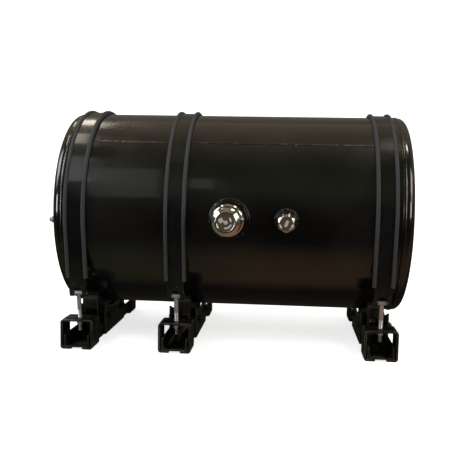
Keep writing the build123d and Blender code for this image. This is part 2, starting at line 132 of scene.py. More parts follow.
class ReceiverSizes(bpy.types.PropertyGroup):
    """Sizes that the frame's boxes don't give."""
    wall: length_value("Wall", "Thickness of the shell and heads", 5 * MM)
    head_flange: length_value("Head flange", "Straight part of a head beside the shell", 8 * MM)
    head_knuckle: length_value("Head knuckle", "Radius between a head's flange and crown", 22 * MM)
    dents: length_value("Unevenness", "Depth of the rolled plate's slow waves", 0.10 * MM)
    weld_ripple: length_value("Weld ripple", "Distance between a weld bead's ripples", 4.5 * MM)
    strap_thickness: length_value("Strap thickness", "Thickness of the strap's band", 3 * MM)
    eye_bore: length_value("Eye bore", "Inner radius of a strap's rolled eye", 7.4 * MM)
    window_width: length_value("Window width", "Width of the opening in a strap's eye", 26 * MM)
    window_top: length_value("Window top", "Top of that opening above the eye's middle", 20.5 * MM)
    bead: length_value("Liner bead", "Width of a liner's edge bead", 11 * MM)
    bolt: length_value("Bolt", "Diameter of a T-bolt's rod", 12.7 * MM)
    thread_pitch: length_value("Bolt pitch", "Distance between a T-bolt's thread turns", 1.954 * MM)
    plug_pitch: length_value("Plug pitch", "Distance between a plug's thread turns", 2.309 * MM)
    edge: length_value("Edge", "Width of the rounding on cut and folded steel edges", 0.8 * MM)


class ReceiverColours(bpy.types.PropertyGroup):
    """Colours of the finishes and of the stage."""
    enamel: colour_value("Enamel", "Gloss paint of the tank and straps", (0.0035, 0.0034, 0.0033))
    coat: colour_value("Coat", "Satin coat of beams, brackets and cradles", (0.0055, 0.0053, 0.005))
    rubber: colour_value("Rubber", "Liners, pads and gaskets", (0.0045, 0.0044, 0.0043))
    chrome: colour_value("Chrome", "Bright plate of the plugs", (0.74, 0.71, 0.67))
    zinc: colour_value("Zinc", "Bright zinc of the bolts, washers and nuts", (0.88, 0.88, 0.87))
    bare: colour_value("Bare metal", "Steel that shows in chips", (0.34, 0.33, 0.32))
    floor: colour_value("Floor", "Plain pale floor and backdrop", (0.92, 0.92, 0.92))


def sizes():
    """The sizes set in the scene."""
    return bpy.context.scene.receiver_sizes


def colours():
    """The colours set in the scene."""
    return bpy.context.scene.receiver_colours


# ---------------------------------------------------------------- surfaces

def surface(name, patches, material, sharp=35, fill=False):
    """Join grids of points, each (rows, columns, 3), into one mesh.

    Points that fall together are merged, so that seams and poles close. fill closes
    what stays open with flat faces. Edges sharper than an angle in degrees stay crisp.
    """
    points = np.concatenate([grid.reshape(-1, 3) for grid in patches])
    quads, start = [], 0
    for grid in patches:
        rows, columns = grid.shape[:2]
        index = np.arange(start, start + rows * columns).reshape(rows, columns)
        quads.append(np.stack([index[:-1, :-1], index[:-1, 1:], index[1:, 1:], index[1:, :-1]], -1))
        start += rows * columns
    corners = np.concatenate([quad.reshape(-1, 4) for quad in quads]).astype(np.int32)
    mesh = bpy.data.meshes.new(name)
    mesh.vertices.add(len(points))
    mesh.vertices.foreach_set("co", points.astype(np.float32).ravel())
    mesh.loops.add(corners.size)
    mesh.loops.foreach_set("vertex_index", corners.ravel())
    mesh.polygons.add(len(corners))
    mesh.polygons.foreach_set("loop_start", np.arange(0, corners.size, 4, dtype=np.int32))
    mesh.update(calc_edges=True)
    shape = bmesh.new()
    shape.from_mesh(mesh)
    bmesh.ops.remove_doubles(shape, verts=shape.verts, dist=0.002 * MM)
    if fill:
        bmesh.ops.holes_fill(shape, edges=[edge for edge in shape.edges if edge.is_boundary])
    bmesh.ops.recalc_face_normals(shape, faces=shape.faces)
    shape.to_mesh(mesh)
    shape.free()
    mesh.validate()
    mesh.shade_smooth()
    mesh.set_sharp_from_angle(angle=radians(sharp))
    mesh.materials.append(material)
    piece = bpy.data.objects.new(name, mesh)
    bpy.context.scene.collection.objects.link(piece)
    return piece


def finished(node, patches, material, **options):
    """Make the finished piece that stands for a CAD node, on the node's own body."""
    piece = surface(f"{node}_finished", patches, material, **options)
    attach(piece, NODES[node]["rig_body"])
    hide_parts(node)
    return piece


def dress(node, material, edge=0.0, wear_and_edge_highlight=None):
    """Give a CAD node its material, and round its sharp edges by an edge width.

    A further material may be given for the rounded edges alone; the coat's edge material paints pale
    edge highlights there, as well as thinned coat.
    """
    piece = NODES[node]
    piece.data.materials.clear()
    piece.data.materials.append(material)
    if edge:
        weld = piece.modifiers.new("Weld", "WELD")
        weld.merge_threshold = 0.002 * MM
        flats = piece.modifiers.new("Flats", "DECIMATE")
        flats.decimate_type = "DISSOLVE"
        flats.angle_limit = radians(0.5)
        bevel = piece.modifiers.new("Edges", "BEVEL")
        bevel.limit_method = "ANGLE"
        bevel.angle_limit = radians(35)
        bevel.width = edge
        bevel.segments = 2
        bevel.harden_normals = True
        if wear_and_edge_highlight:
            piece.data.materials.append(wear_and_edge_highlight)
            bevel.material = 1
        piece.data.shade_smooth()


def rounded(points, radius, closed=False, steps=4):
    """Round an outline's corners: each becomes an arc that touches both of its sides.

    radius is one number or one for each point; an arc takes at most 0.45 of a side.
    """
    points = np.asarray(points, float)
    radii = np.broadcast_to(radius, len(points))
    share = np.linspace(0, 1, steps + 1)[:, None]
    out = []
    for place, here in enumerate(points):
        back = points[place - 1] - here
        ahead = points[(place + 1) % len(points)] - here
        if radii[place] == 0 or (not closed and place in (0, len(points) - 1)):
            out.append(here[None])
            continue
        back_length, ahead_length = np.linalg.norm(back), np.linalg.norm(ahead)
        back, ahead = back / back_length, ahead / ahead_length
        half = np.arccos(np.clip(back @ ahead, -1, 1)) / 2
        cut = min(radii[place] / tan(half), 0.45 * back_length, 0.45 * ahead_length)
        middle = back + ahead
        centre = here + middle / np.linalg.norm(middle) * cut / cos(half)
        first, last = here + back * cut - centre, here + ahead * cut - centre
        turn = pi - 2 * half
        out.append(centre + (np.sin((1 - share) * turn) * first + np.sin(share * turn) * last)
                   / sin(turn))
    if closed:
        out.append(out[0][:1])
    return np.concatenate(out)


def cross_axes(way):
    """Two directions at right angles to a direction and to each other."""
    way = np.asarray(way, float) / np.linalg.norm(way)
    helper = ALONG_X if abs(way[0]) < 0.9 else np.array((0.0, 1.0, 0.0))
    side = np.cross(way, helper)
    side /= np.linalg.norm(side)
    return side, np.cross(way, side)


def spokes(way, angle):
    """Directions round an axis: cos f side + sin f up."""
    side, up = cross_axes(way)
    return np.cos(angle)[..., None] * side + np.sin(angle)[..., None] * up


def about(origin, way, along, radius, angle):
    """Points round an axis: origin + along x way + radius x spoke."""
    return (origin + np.asarray(along)[..., None] * np.asarray(way)
            + np.asarray(radius)[..., None] * spokes(way, angle))


def turned(profile, origin, way, count=96, limit=None):
    """Turn a profile of (along, radius) pairs about an axis.

    limit(radius, angle) may change the radius round the axis.
    """
    along, radius = np.asarray(profile, float).T[..., None]
    angle = np.linspace(0, 2 * pi, count + 1)
    radius = np.broadcast_to(radius, (len(along), count + 1))
    if limit:
        radius = limit(radius, angle)
    return about(origin, way, along, radius, angle)


def flats_limit(flats, sides, softness=0.25 * MM, start=0.0):
    """Limit a radius to a many-sided outline, by a smooth least of the two.

    The outline's radius is (flats / 2) / cos f, with f from the middle of a flat.
    """
    sector = 2 * pi / sides

    def limit(radius, angle):
        off = (angle - start + sector / 2) % sector - sector / 2
        outline = flats / 2 / np.cos(off)
        least = np.minimum(radius, outline)
        return least - softness * np.log1p(np.exp(-np.abs(radius - outline) / softness))

    return limit


def thread(origin, way, low, high, radius, pitch, count=36, fade=1.5):
    """A screw thread's flank: radius falls by up to 0.6 pitch, as a rounded triangle wave of
    along / pitch - angle / turn, which fades out over some turns at both ends."""
    steps = int((high - low) / pitch * 7)
    along = np.linspace(low, high, steps + 1)[:, None]
    angle = np.linspace(0, 2 * pi, count + 1)[None]
    wave = np.arcsin(0.98 * np.cos(2 * pi * along / pitch - angle)) / pi + 0.5
    ease = np.clip(np.minimum(along - low, high - along) / (fade * pitch), 0, 1)
    depth = 0.6 * pitch * (1 - wave) * ease
    return about(origin, way, along, radius - depth, angle)


def on_tank(x, angle, radius):
    """Points at a radius from the tank's axis, at an angle above the front horizontal."""
    x, angle, radius = np.broadcast_arrays(x, angle, radius)
    return np.stack([x, -radius * np.cos(angle), AXIS_Z + radius * np.sin(angle)], -1)


def waves(x, angle):
    """Slow unevenness of rolled plate, from -1 to 1: a sum of sines along and round the tank."""
    return (np.sin(7.0 * x + 3 * angle + 0.7) + np.sin(-11.0 * x + 2 * angle + 2.1)
            + np.sin(17.0 * x + 5 * angle + 4.0) + np.sin(5.0 * x - 7 * angle + 1.3)) / 4


def ripples(along, pitch):
    """The uneven ripples of a weld bead, from -1 to 1: a fine wave whose phase wanders."""
    wander = 0.9 * np.sin(along / pitch * 0.37) + 0.7 * np.sin(along / pitch * 0.83 + 1.0)
    return np.cos(2 * pi * along / pitch + wander) * (0.75 + 0.25 * np.sin(along / pitch * 0.61))


# ---------------------------------------------------------------- material building

class Wiring:
    """Adds nodes to a node tree and joins their sockets."""

    def __init__(self, tree):
        self.tree = tree

    def add(self, kind, inputs=None, **settings):
        """A new node, with its settings and with values or sockets for its inputs."""
        node = self.tree.nodes.new(kind)
        for key, value in settings.items():
            setattr(node, key, value)
        for key, value in (inputs or {}).items():
            self.put(value, node.inputs[key])
        return node

    def put(self, value, socket):
        """Join a socket to an input, or set the input's own value."""
        if isinstance(value, bpy.types.NodeSocket):
            self.tree.links.new(value, socket)
        else:
            socket.default_value = value

    def maths(self, operation, first, second=0.0, clamp=False):
        """The result of a Math node."""
        node = self.add("ShaderNodeMath", {0: first, 1: second}, operation=operation)
        node.use_clamp = clamp
        return node.outputs[0]

    def times(self, first, second):
        """The product of two values."""
        return self.maths("MULTIPLY", first, second)

    def ramp(self, value, low, high, out_low=0.0, out_high=1.0):
        """A value mapped from one range to another by a smooth step."""
        node = self.add("ShaderNodeMapRange", {
            "Value": value, "From Min": low, "From Max": high,
            "To Min": out_low, "To Max": out_high}, interpolation_type="SMOOTHSTEP")
        return node.outputs["Result"]

    def part(self, vector, axis):
        """A vector's X, Y or Z."""
        return self.add("ShaderNodeSeparateXYZ", {"Vector": vector}).outputs[axis]

    def off_axis(self, vector, across):
        """The distance from an axis: the length of the part of a vector across it."""
        flat = self.add("ShaderNodeVectorMath", {0: vector, 1: across}, operation="MULTIPLY")
        return self.add("ShaderNodeVectorMath", {0: flat.outputs[0]},
                        operation="LENGTH").outputs["Value"]

    def noise(self, vector, scale, detail=3.0, rough=0.55):
        """The factor of a noise texture."""
        return self.add("ShaderNodeTexNoise", {
            "Vector": vector, "Scale": scale, "Detail": detail,
            "Roughness": rough}).outputs["Fac"]

    def blend(self, share, first, second):
        """A colour between two colours."""
        node = self.add("ShaderNodeMix", data_type="RGBA")
        self.put(share, node.inputs["Factor"])
        self.put(first, node.inputs["A"])
        self.put(second, node.inputs["B"])
        return [socket for socket in node.outputs if socket.type == "RGBA"][0]

    def mapped(self, vector, scale=(1, 1, 1), turn=(0, 0, 0), shift=(0, 0, 0)):
        """A vector that is shifted, turned and stretched."""
        return self.add("ShaderNodeMapping", {
            "Vector": vector, "Scale": scale, "Rotation": turn,
            "Location": shift}).outputs["Vector"]

    def placed(self, group, **values):
        """One of the shared node groups, with its values."""
        node = self.add("ShaderNodeGroup", node_tree=group)
        for key, value in values.items():
            self.put(value, node.inputs[key])
        return node.outputs[0]


def shared_group(name, inputs, output, build):
    """Make a shader node group once: inputs are (name, kind, value), output is (name, kind)."""
    group = bpy.data.node_groups.get(name)
    if group:
        return group
    group = bpy.data.node_groups.new(name, "ShaderNodeTree")
    for label, kind, value in inputs:
        socket = group.interface.new_socket(name=label, in_out="INPUT", socket_type=kind)
        if value is not None:
            socket.default_value = value
    group.interface.new_socket(name=output[0], in_out="OUTPUT", socket_type=output[1])
    wiring = Wiring(group)
    entry = wiring.add("NodeGroupInput")
    leave = wiring.add("NodeGroupOutput")
    result = build(wiring, {label: entry.outputs[label] for label, _, _ in inputs})
    group.links.new(result, leave.inputs[output[0]])
    return group


FLOAT, VECTOR = "NodeSocketFloat", "NodeSocketVector"


def grain_group():
    """Height of a fine grain: coarse and fine noise added up."""
    def build(wiring, at):
        coarse = wiring.noise(at["Place"], at["Scale"], 2.0)
        fine = wiring.noise(at["Place"], wiring.times(at["Scale"], 3.7), 1.0)
        return wiring.maths("ADD", coarse, wiring.times(fine, at["Fine share"]))

    return shared_group("Grain", [("Place", VECTOR, None), ("Scale", FLOAT, 300.0),
                                  ("Fine share", FLOAT, 0.4)], ("Height", FLOAT), build)


def scratch_group():
    """Mask of fine scratches: thin contour lines of a stretched noise, only in some patches."""
    def build(wiring, at):
        lines = None
        for turn, stretch in ((0.5, (1, 0.02, 0.3)), (1.9, (0.02, 1, 0.3)), (-0.7, (1, 0.3, 0.02))):
            stretched = wiring.mapped(at["Place"], scale=stretch, turn=(turn, 0.4, turn))
            value = wiring.noise(stretched, at["Scale"], 0.0)
            thin = wiring.maths("ABSOLUTE", wiring.maths("SUBTRACT", value, 0.5))
            line = wiring.maths("LESS_THAN", thin, at["Width"])
            lines = line if lines is None else wiring.maths("MAXIMUM", lines, line)
        patch = wiring.noise(at["Place"], wiring.times(at["Scale"], 0.3), 2.0)
        start = wiring.maths("SUBTRACT", 1.0, at["Share"])
        gate = wiring.maths("GREATER_THAN", patch, start)
        return wiring.times(lines, gate)

    return shared_group("Scratches", [("Place", VECTOR, None), ("Scale", FLOAT, 30.0),
                                      ("Width", FLOAT, 0.004), ("Share", FLOAT, 0.4)],
                        ("Mask", FLOAT), build)


def speck_group():
    """Mask of small specks: some of the cells of a Voronoi texture, near their middles."""
    def build(wiring, at):
        cells = wiring.add("ShaderNodeTexVoronoi", {"Vector": at["Place"], "Scale": at["Scale"]})
        near = wiring.maths("LESS_THAN", cells.outputs["Distance"], at["Size"])
        pick = wiring.add("ShaderNodeSeparateColor", {"Color": cells.outputs["Color"]})
        some = wiring.maths("LESS_THAN", pick.outputs[0], at["Share"])
        return wiring.times(near, some)

    return shared_group("Specks", [("Place", VECTOR, None), ("Scale", FLOAT, 150.0),
                                   ("Size", FLOAT, 0.25), ("Share", FLOAT, 0.1)],
                        ("Mask", FLOAT), build)


def rings_group():
    """Height of turning marks: sines of the distance from an axis, broken up by noise."""
    def build(wiring, at):
        far = wiring.off_axis(at["Place"], at["Across"])
        wave = wiring.maths("SINE", wiring.times(far, at["Turns"]))
        return wiring.times(wave, wiring.noise(at["Place"], 220.0, 2.0))

    return shared_group("Turned rings", [("Place", VECTOR, None), ("Across", VECTOR, (1, 0, 1)),
                                         ("Turns", FLOAT, 12000.0)], ("Height", FLOAT), build)


def opaque(colour):
    """A colour with its alpha."""
    return (*colour, 1.0)


class Finish(Wiring):
    """A new material's wiring, with its shader and the Object coordinates."""

    def __init__(self, name):
        self.material = bpy.data.materials.new(name)
        self.material.use_nodes = True
        super().__init__(self.material.node_tree)
        self.shader = self.tree.nodes["Principled BSDF"]
        self.place = self.add("ShaderNodeTexCoord").outputs["Object"]

    def shade(self, **inputs):
        """Set or join the shader's inputs; Base_Color stands for Base Color."""
        for key, value in inputs.items():
            self.put(value, self.shader.inputs[key.replace("_", " ")])

    def bump(self, height, distance, strength):
        """Feed a height to the shader's normal."""
        node = self.add("ShaderNodeBump", {"Height": height, "Distance": distance,
                                           "Strength": strength})
        self.shade(Normal=node.outputs["Normal"])

    def grain(self, scale, fine, distance, strength):
        """Feed the height of a fine grain to the shader's normal."""
        height = self.placed(grain_group(), Place=self.place, Scale=scale, **{"Fine share": fine})
        self.bump(height, distance, strength)

    def specks(self, scale, size, share):
        """Mask of specks over the piece."""
        return self.placed(speck_group(), Place=self.place, Scale=scale, Size=size, Share=share)

    def patches(self, scale, detail, low, high, rough=0.55):
        """Soft patches over the piece: a noise, taken from 0 to 1 between two of its levels."""
        return self.ramp(self.noise(self.place, scale, detail, rough), low, high)


def tank_enamel():
    """Thick gloss black enamel: orange peel, slow haze and a few dust specks."""
    paint = Finish("tank_enamel")
    haze = paint.patches(5.0, 4.0, 0.35, 0.7)
    dust = paint.times(paint.specks(90.0, 0.10, 0.035), 0.35)
    tint = paint.blend(haze, opaque(colours().enamel), (0.0075, 0.0068, 0.006, 1))
    rough = paint.ramp(haze, 0.0, 1.0, 0.14, 0.24)
    paint.shade(Base_Color=paint.blend(dust, tint, (0.09, 0.088, 0.085, 1)),
                Roughness=paint.maths("ADD", rough, paint.times(dust, 0.3)),
                Coat_Weight=0.6, Coat_Roughness=0.05)
    paint.grain(160.0, 0.25, 0.05 * MM, 0.35)
    return paint.material


def weld_enamel():
    """The same enamel over a rippled bead, with pale metallic specks of spatter in patches; their
    pale colour is also a painted glint.
    """
    paint = Finish("weld_enamel")
    # Pale metallic specks: weld spatter, and painted glints that stand for light catching the lumpy
    # bead.
    spatter_glints = paint.times(paint.specks(330.0, 0.34, 0.16), paint.patches(16.0, 3.0, 0.52, 0.66))
    paint.shade(Base_Color=paint.blend(spatter_glints, opaque(colours().enamel), (0.30, 0.28, 0.25, 1)),
                Metallic=paint.times(spatter_glints, 0.7), Roughness=paint.ramp(spatter_glints, 0.0, 1.0, 0.14, 0.3),
                Coat_Weight=0.5, Coat_Roughness=0.06)
    paint.grain(230.0, 0.6, 0.5 * MM, 0.6)
    return paint.material


def strap_enamel():
    """Gloss black on spring steel: a slow haze, and chips down to the steel near the eyes."""
    paint = Finish("strap_enamel")
    height = paint.part(paint.place, "Z")
    low_end = paint.ramp(height, AXIS_Z - 0.6 * TANK_R, AXIS_Z - 0.85 * TANK_R)
    wear_and_edge_highlight = paint.times(paint.specks(210.0, 0.3, 0.05), low_end)
    haze = paint.patches(9.0, 4.0, 0.3, 0.75)
    tint = paint.blend(haze, opaque(colours().enamel), (0.009, 0.009, 0.0088, 1))
    gloss = paint.ramp(haze, 0.0, 1.0, 0.16, 0.27)
    paint.shade(Base_Color=paint.blend(wear_and_edge_highlight, tint, opaque(colours().bare)),
                Metallic=paint.times(wear_and_edge_highlight, 0.8),
                Roughness=paint.maths("ADD", gloss, paint.times(low_end, 0.12)),
                Coat_Weight=0.35, Coat_Roughness=0.08)
    paint.grain(210.0, 0.3, 0.05 * MM, 0.4)
    return paint.material


def frame_coat():
    """Satin black coat on folded steel: fine texture, grey scuffs and a few chips."""
    coat = Finish("frame_coat")
    scuffs = coat.patches(34.0, 5.0, 0.56, 0.78, 0.7)
    tint = coat.blend(scuffs, opaque(colours().coat), (0.019, 0.018, 0.016, 1))
    chips = coat.specks(120.0, 0.22, 0.03)
    coat.shade(Base_Color=coat.blend(chips, tint, (0.13, 0.125, 0.115, 1)),
               Roughness=coat.ramp(scuffs, 0.0, 1.0, 0.30, 0.46))
    coat.grain(520.0, 0.6, 0.06 * MM, 0.6)
    return coat.material


def highlit_coat_edge():
    """The same coat on the bevelled edges: paler and smoother in patches where the coat has thinned,
    and a painted highlight along the edges.
    """
    coat = Finish("highlit_coat_edge")
    # Paler, more metallic patches on the bevels: thinned coat and a painted edge highlight.
    thinned_and_highlit = coat.patches(18.0, 4.0, 0.40, 0.66, 0.65)
    coat.shade(Base_Color=coat.blend(thinned_and_highlit, (0.016, 0.015, 0.013, 1), (0.24, 0.225, 0.20, 1)),
               Metallic=coat.times(thinned_and_highlit, 0.5),
               Roughness=coat.ramp(thinned_and_highlit, 0.0, 1.0, 0.34, 0.26))
    coat.grain(520.0, 0.6, 0.05 * MM, 0.5)
    return coat.material


def rubber(name, rough, bloom):
    """Black rubber: a slight bloom in patches, fine pores and dust."""
    skin = Finish(name)
    pale = skin.patches(26.0, 5.0, 0.35, 0.75, 0.6)
    tint = skin.blend(skin.times(pale, bloom), opaque(colours().rubber), (0.06, 0.06, 0.06, 1))
    dust = skin.times(skin.specks(320.0, 0.2, 0.06), 0.3)
    skin.shade(Base_Color=skin.blend(dust, tint, (0.12, 0.12, 0.115, 1)),
               Roughness=skin.ramp(pale, 0.0, 1.0, rough, 1.3 * rough))
    skin.grain(700.0, 0.5, 0.05 * MM, rough)
    return skin.material


def liner_rubber():
    """Extruded rubber with a smooth skin."""
    return rubber("liner_rubber", 0.16, 0.0)


def pad_rubber():
    """Moulded rubber, duller."""
    return rubber("pad_rubber", 0.58, 0.6)


def plug_chrome(name, joint, disc_r, reach):
    """Bright plate over turned steel: rings about the plug's axis, faint stains, hairlines.

    The sunk disc is left dull and painted brown, a painted reflection of the brown room in front,
    with bright tops on its raised marks.
    """
    plate = Finish(name)
    centre, way = joint_line(joint)
    round_axis = plate.mapped(plate.place, shift=tuple(-centre))
    lift = plate.add("ShaderNodeVectorMath", {0: round_axis, 1: tuple(way)},
                     operation="DOT_PRODUCT").outputs["Value"]
    far = plate.off_axis(round_axis, (1, 0, 1))
    within = plate.times(plate.maths("GREATER_THAN", lift, reach - 4 * MM),
                         plate.ramp(far, disc_r + 6 * MM, disc_r + 4 * MM))
    raised = plate.ramp(lift, reach - 2.7 * MM, reach - 2.35 * MM)
    sunk = plate.times(within, plate.maths("SUBTRACT", 1.0, raised))
    # Painted reflection: the sunk disc is coloured brown and dull, standing for the brown room it
    # mirrors.
    dull = plate.times(sunk, plate.ramp(far, disc_r - 0.2 * MM, disc_r - 0.9 * MM))
    pale = plate.times(raised, plate.ramp(far, disc_r - 1 * MM, disc_r - 2 * MM))
    stains = plate.patches(60.0, 5.0, 0.5, 0.75, 0.65)
    hairs = plate.placed(scratch_group(), Place=plate.place, Scale=60.0, Width=0.004, Share=0.5)
    bright = plate.blend(plate.times(stains, 0.4), opaque(colours().chrome), (0.42, 0.37, 0.31, 1))
    brown = plate.blend(dull, bright, (0.085, 0.052, 0.034, 1))
    gloss = plate.maths("ADD", plate.ramp(stains, 0.0, 1.0, 0.09, 0.2), plate.times(hairs, 0.15))
    rough = plate.maths("ADD", gloss, plate.times(dull, 0.25))
    plate.shade(
        Base_Color=plate.blend(pale, brown, (0.88, 0.88, 0.88, 1)),
        Metallic=plate.maths("SUBTRACT", plate.ramp(pale, 0.0, 1.0, 1.0, 0.45), dull, clamp=True),
        Roughness=plate.maths("ADD", rough, plate.times(pale, 0.25), clamp=True))
    rings = plate.placed(rings_group(), Place=round_axis, Across=(1, 0, 1), Turns=11000.0)
    plate.bump(rings, 0.012 * MM, 0.35)
    return plate.material


def plated(name, colour, rough, metallic=1.0):
    """Plated or drawn steel: mottled spangle, small stains and a fine grain."""
    plate = Finish(name)
    spangle = plate.add("ShaderNodeTexVoronoi", {"Vector": plate.place, "Scale": 420.0})
    shade = plate.times(plate.patches(130.0, 4.0, 0.35, 0.75), 0.7)
    dark = tuple(0.7 * channel for channel in colour)
    plate.shade(Base_Color=plate.blend(shade, opaque(colour), opaque(dark)), Metallic=metallic,
                Roughness=plate.ramp(spangle.outputs["Distance"], 0.0, 0.8, rough, rough + 0.16))
    plate.grain(600.0, 0.4, 0.02 * MM, 0.5)
    return plate.material


def bolt_zinc():
    """Bright zinc plate."""
    return plated("bolt_zinc", tuple(colours().zinc), 0.34, 0.3)


def valve_steel():
    """Dull turned steel."""
    return plated("valve_steel", (0.45, 0.44, 0.43), 0.28)


def spring_steel():
    """Drawn spring wire."""
    return plated("spring_steel", (0.36, 0.36, 0.38), 0.25)


def black_oxide():
    """Blackened bolts, with a thin oily sheen."""
    return plated("black_oxide", (0.055, 0.054, 0.053), 0.32, 0.8)


def material_of(make, *values):
    """The material that a function makes, made once."""
    name = values[0] if values else make.__name__
    return bpy.data.materials.get(name) or make(*values)


# ---------------------------------------------------------------- tank

PORTS = {"main": "main_port", "small": "small_port"}
INSET = 18 * MM             # how far a port reaches in through the tank's wall
VALVE_BORE = 10.5 * MM      # inner radius of the relief valve's port


def port_circle(name):
    """A port's middle along X, its angle on the tank and its outer radius."""
    low, high = span(PORTS[name])
    way = joint_line(f"{name}_plug_turn")[1]
    return (low[0] + high[0]) / 2, atan2(way[2], -way[1]), (high[0] - low[0]) / 2


def holed_tube(radius, low_x, high_x, uneven):
    """A tube along X with a round hole for each port.

    Points lie at (x, angle) on the tube. Round each hole, rings go from the hole's
    circle to a rectangle of the tube's own grid lines, in equal shares.
    """
    holes = [port_circle(name) for name in PORTS]
    angle = holes[0][1]
    reach = [1.45 * hole[2] for hole in holes]
    half_angle = max(reach) / TANK_R
    marks = [low_x]
    for hole, wide in zip(holes, reach):
        marks += [hole[0] - wide, hole[0] + wide]
    marks.append(high_x)
    parts = (22, 20, 3, 12, 16)
    columns = [np.linspace(a, b, n + 1) for a, b, n in zip(marks[:-1], marks[1:], parts)]
    window = angle + np.linspace(-half_angle, half_angle, 17)
    around = angle + np.linspace(half_angle, 2 * pi - half_angle, 265)

    def skin(x, turn):
        return on_tank(x, turn, radius + uneven * waves(x, turn) * np.sin(
            pi * np.clip((x - low_x) / (high_x - low_x), 0, 1)))

    every_x = np.unique(np.concatenate(columns).round(9))
    patches = [skin(every_x[None], around[:, None])]
    rims = []
    for place, x in enumerate(columns):
        if place % 2 == 0:
            patches.append(skin(x[None], window[:, None]))
            continue
        middle_x, _, outer = holes[place // 2]
        hole_r = outer + 0.3 * MM
        border_x = np.concatenate([x[:-1], np.full(16, x[-1]), x[:0:-1], np.full(17, x[0])])
        border_a = np.concatenate([np.full(len(x) - 1, window[0]), window[:-1],
                                   np.full(len(x) - 1, window[-1]), window[::-1]])
        turn = np.arctan2((border_a - angle) * TANK_R, border_x - middle_x)
        ring_x = middle_x + hole_r * np.cos(turn)
        ring_a = angle + np.arcsin(hole_r * np.sin(turn) / radius)
        share = np.linspace(0, 1, 9)[:, None]
        patches.append(skin(ring_x + share * (border_x - ring_x),
                            ring_a + share * (border_a - ring_a)))
        rims.append(patches[-1][0])
    return patches, rims, [skin(np.array(end), np.concatenate([window, around[1:]]))
                           for end in (low_x, high_x)]


def shell_patches():
    """The shell's outer and inner tubes, the rims of its port holes and its end rings."""
    low, high = SHELL_LOW[0], SHELL_HIGH[0]
    outer, outer_rims, outer_ends = holed_tube(TANK_R - HIDDEN, low, high, sizes().dents)
    inner, inner_rims, inner_ends = holed_tube(TANK_R - sizes().wall, low, high, 0.0)
    walls = [np.stack([a, b]) for a, b in zip(outer_rims + outer_ends, inner_rims + inner_ends)]
    return outer + inner + walls


def head_profile(depth):
    """Half of a head's section, as (out from the shell, radius): flange, knuckle arc, crown
    arc to the axis, and the same cut back by the wall on the inside."""
    flange, knuckle, wall = sizes().head_flange, sizes().head_knuckle, sizes().wall
    dish = depth - flange
    crown = (dish ** 2 + (TANK_R - knuckle) ** 2 - knuckle ** 2) / 2 / (dish - knuckle)
    centre = depth - crown
    turn = atan2(TANK_R - knuckle, flange - centre)
    lean = np.linspace(pi / 2, turn, 18)
    across = np.linspace(turn, 0, 46)

    def side(cut):
        bend, dome = knuckle - cut, crown - cut
        knuckle_arc = np.stack([flange + bend * np.cos(lean),
                                TANK_R - knuckle + bend * np.sin(lean)], -1)
        crown_arc = np.stack([centre + dome * np.cos(across), dome * np.sin(across)], -1)
        return np.concatenate([[(0, TANK_R - cut)], knuckle_arc, crown_arc[1:]])

    outer, inner = side(0.0), side(wall)
    return np.concatenate([outer, inner[::-1], outer[:1]])


class RECEIVER_OT_tank(bpy.types.Operator):
    """Build the shell and the two dished heads."""
    bl_idname = "receiver.tank"
    bl_label = "Shell and heads"

    def execute(self, context):
        enamel = material_of(tank_enamel)
        finished("shell", shell_patches(), enamel)
        for side, way, end_x in (("left", -1, SHELL_LOW[0]), ("right", 1, SHELL_HIGH[0])):
            low, high = span(f"head_{side}")
            profile = head_profile(high[0] - low[0])
            grid = turned(profile, np.array((end_x, 0, AXIS_Z)), way * ALONG_X, 256)
            finished(f"head_{side}", [grid], enamel)
        return {"FINISHED"}


class RECEIVER_OT_welds(bpy.types.Operator):
    """Build the rippled girth welds and the long seam weld."""
    bl_idname = "receiver.welds"
    bl_label = "Weld beads"

    def execute(self, context):
        enamel = material_of(weld_enamel)
        low, high = span("girth_welds")
        width = 2 * (SHELL_LOW[0] - low[0])
        rise = (high[2] - low[2]) / 2 - TANK_R
        pitch = sizes().weld_ripple
        across = np.linspace(-1, 1, 11)[None]
        angle = np.linspace(0, 2 * pi, 2401)[:, None]
        patches = []
        for middle_x in (SHELL_LOW[0], SHELL_HIGH[0]):
            lag = 0.35 * pitch * across ** 2
            wave = ripples(np.sin(angle / 2) * 2 * TANK_R * 1.3 + lag + middle_x, pitch)
            radius = TANK_R + rise * (1 - across ** 2) * (0.95 + 0.05 * wave)
            edge = middle_x + across * width / 2 * (0.97 + 0.03 * np.sin(37 * angle))
            patches.append(on_tank(edge, angle, radius))
            under = np.stack([patches[-1][:, 0], patches[-1][:, -1]], 1)
            patches.append(under)
        finished("girth_welds", patches, enamel, sharp=80)

        low, high = span("seam_weld")
        middle = atan2((low[2] + high[2]) / 2 - AXIS_Z, -(low[1] + high[1]) / 2)
        width = np.hypot(high[2] - low[2], high[1] - low[1])
        rise = np.hypot(high[1], high[2] - AXIS_Z) - TANK_R
        x = np.linspace(low[0], high[0], 2201)[:, None]
        wave = ripples(x + 0.4 * pitch * across ** 2, pitch)
        lift = np.clip(rise, 0.8 * MM, 1.4 * MM) * (1 - across ** 2) * (0.7 + 0.3 * wave)
        top = on_tank(x, middle + across * width / 2 / TANK_R, TANK_R + lift)
        under = np.stack([top[:, 0], top[:, -1]], 1)
        finished("seam_weld", [top, under], enamel, sharp=80, fill=True)
        return {"FINISHED"}


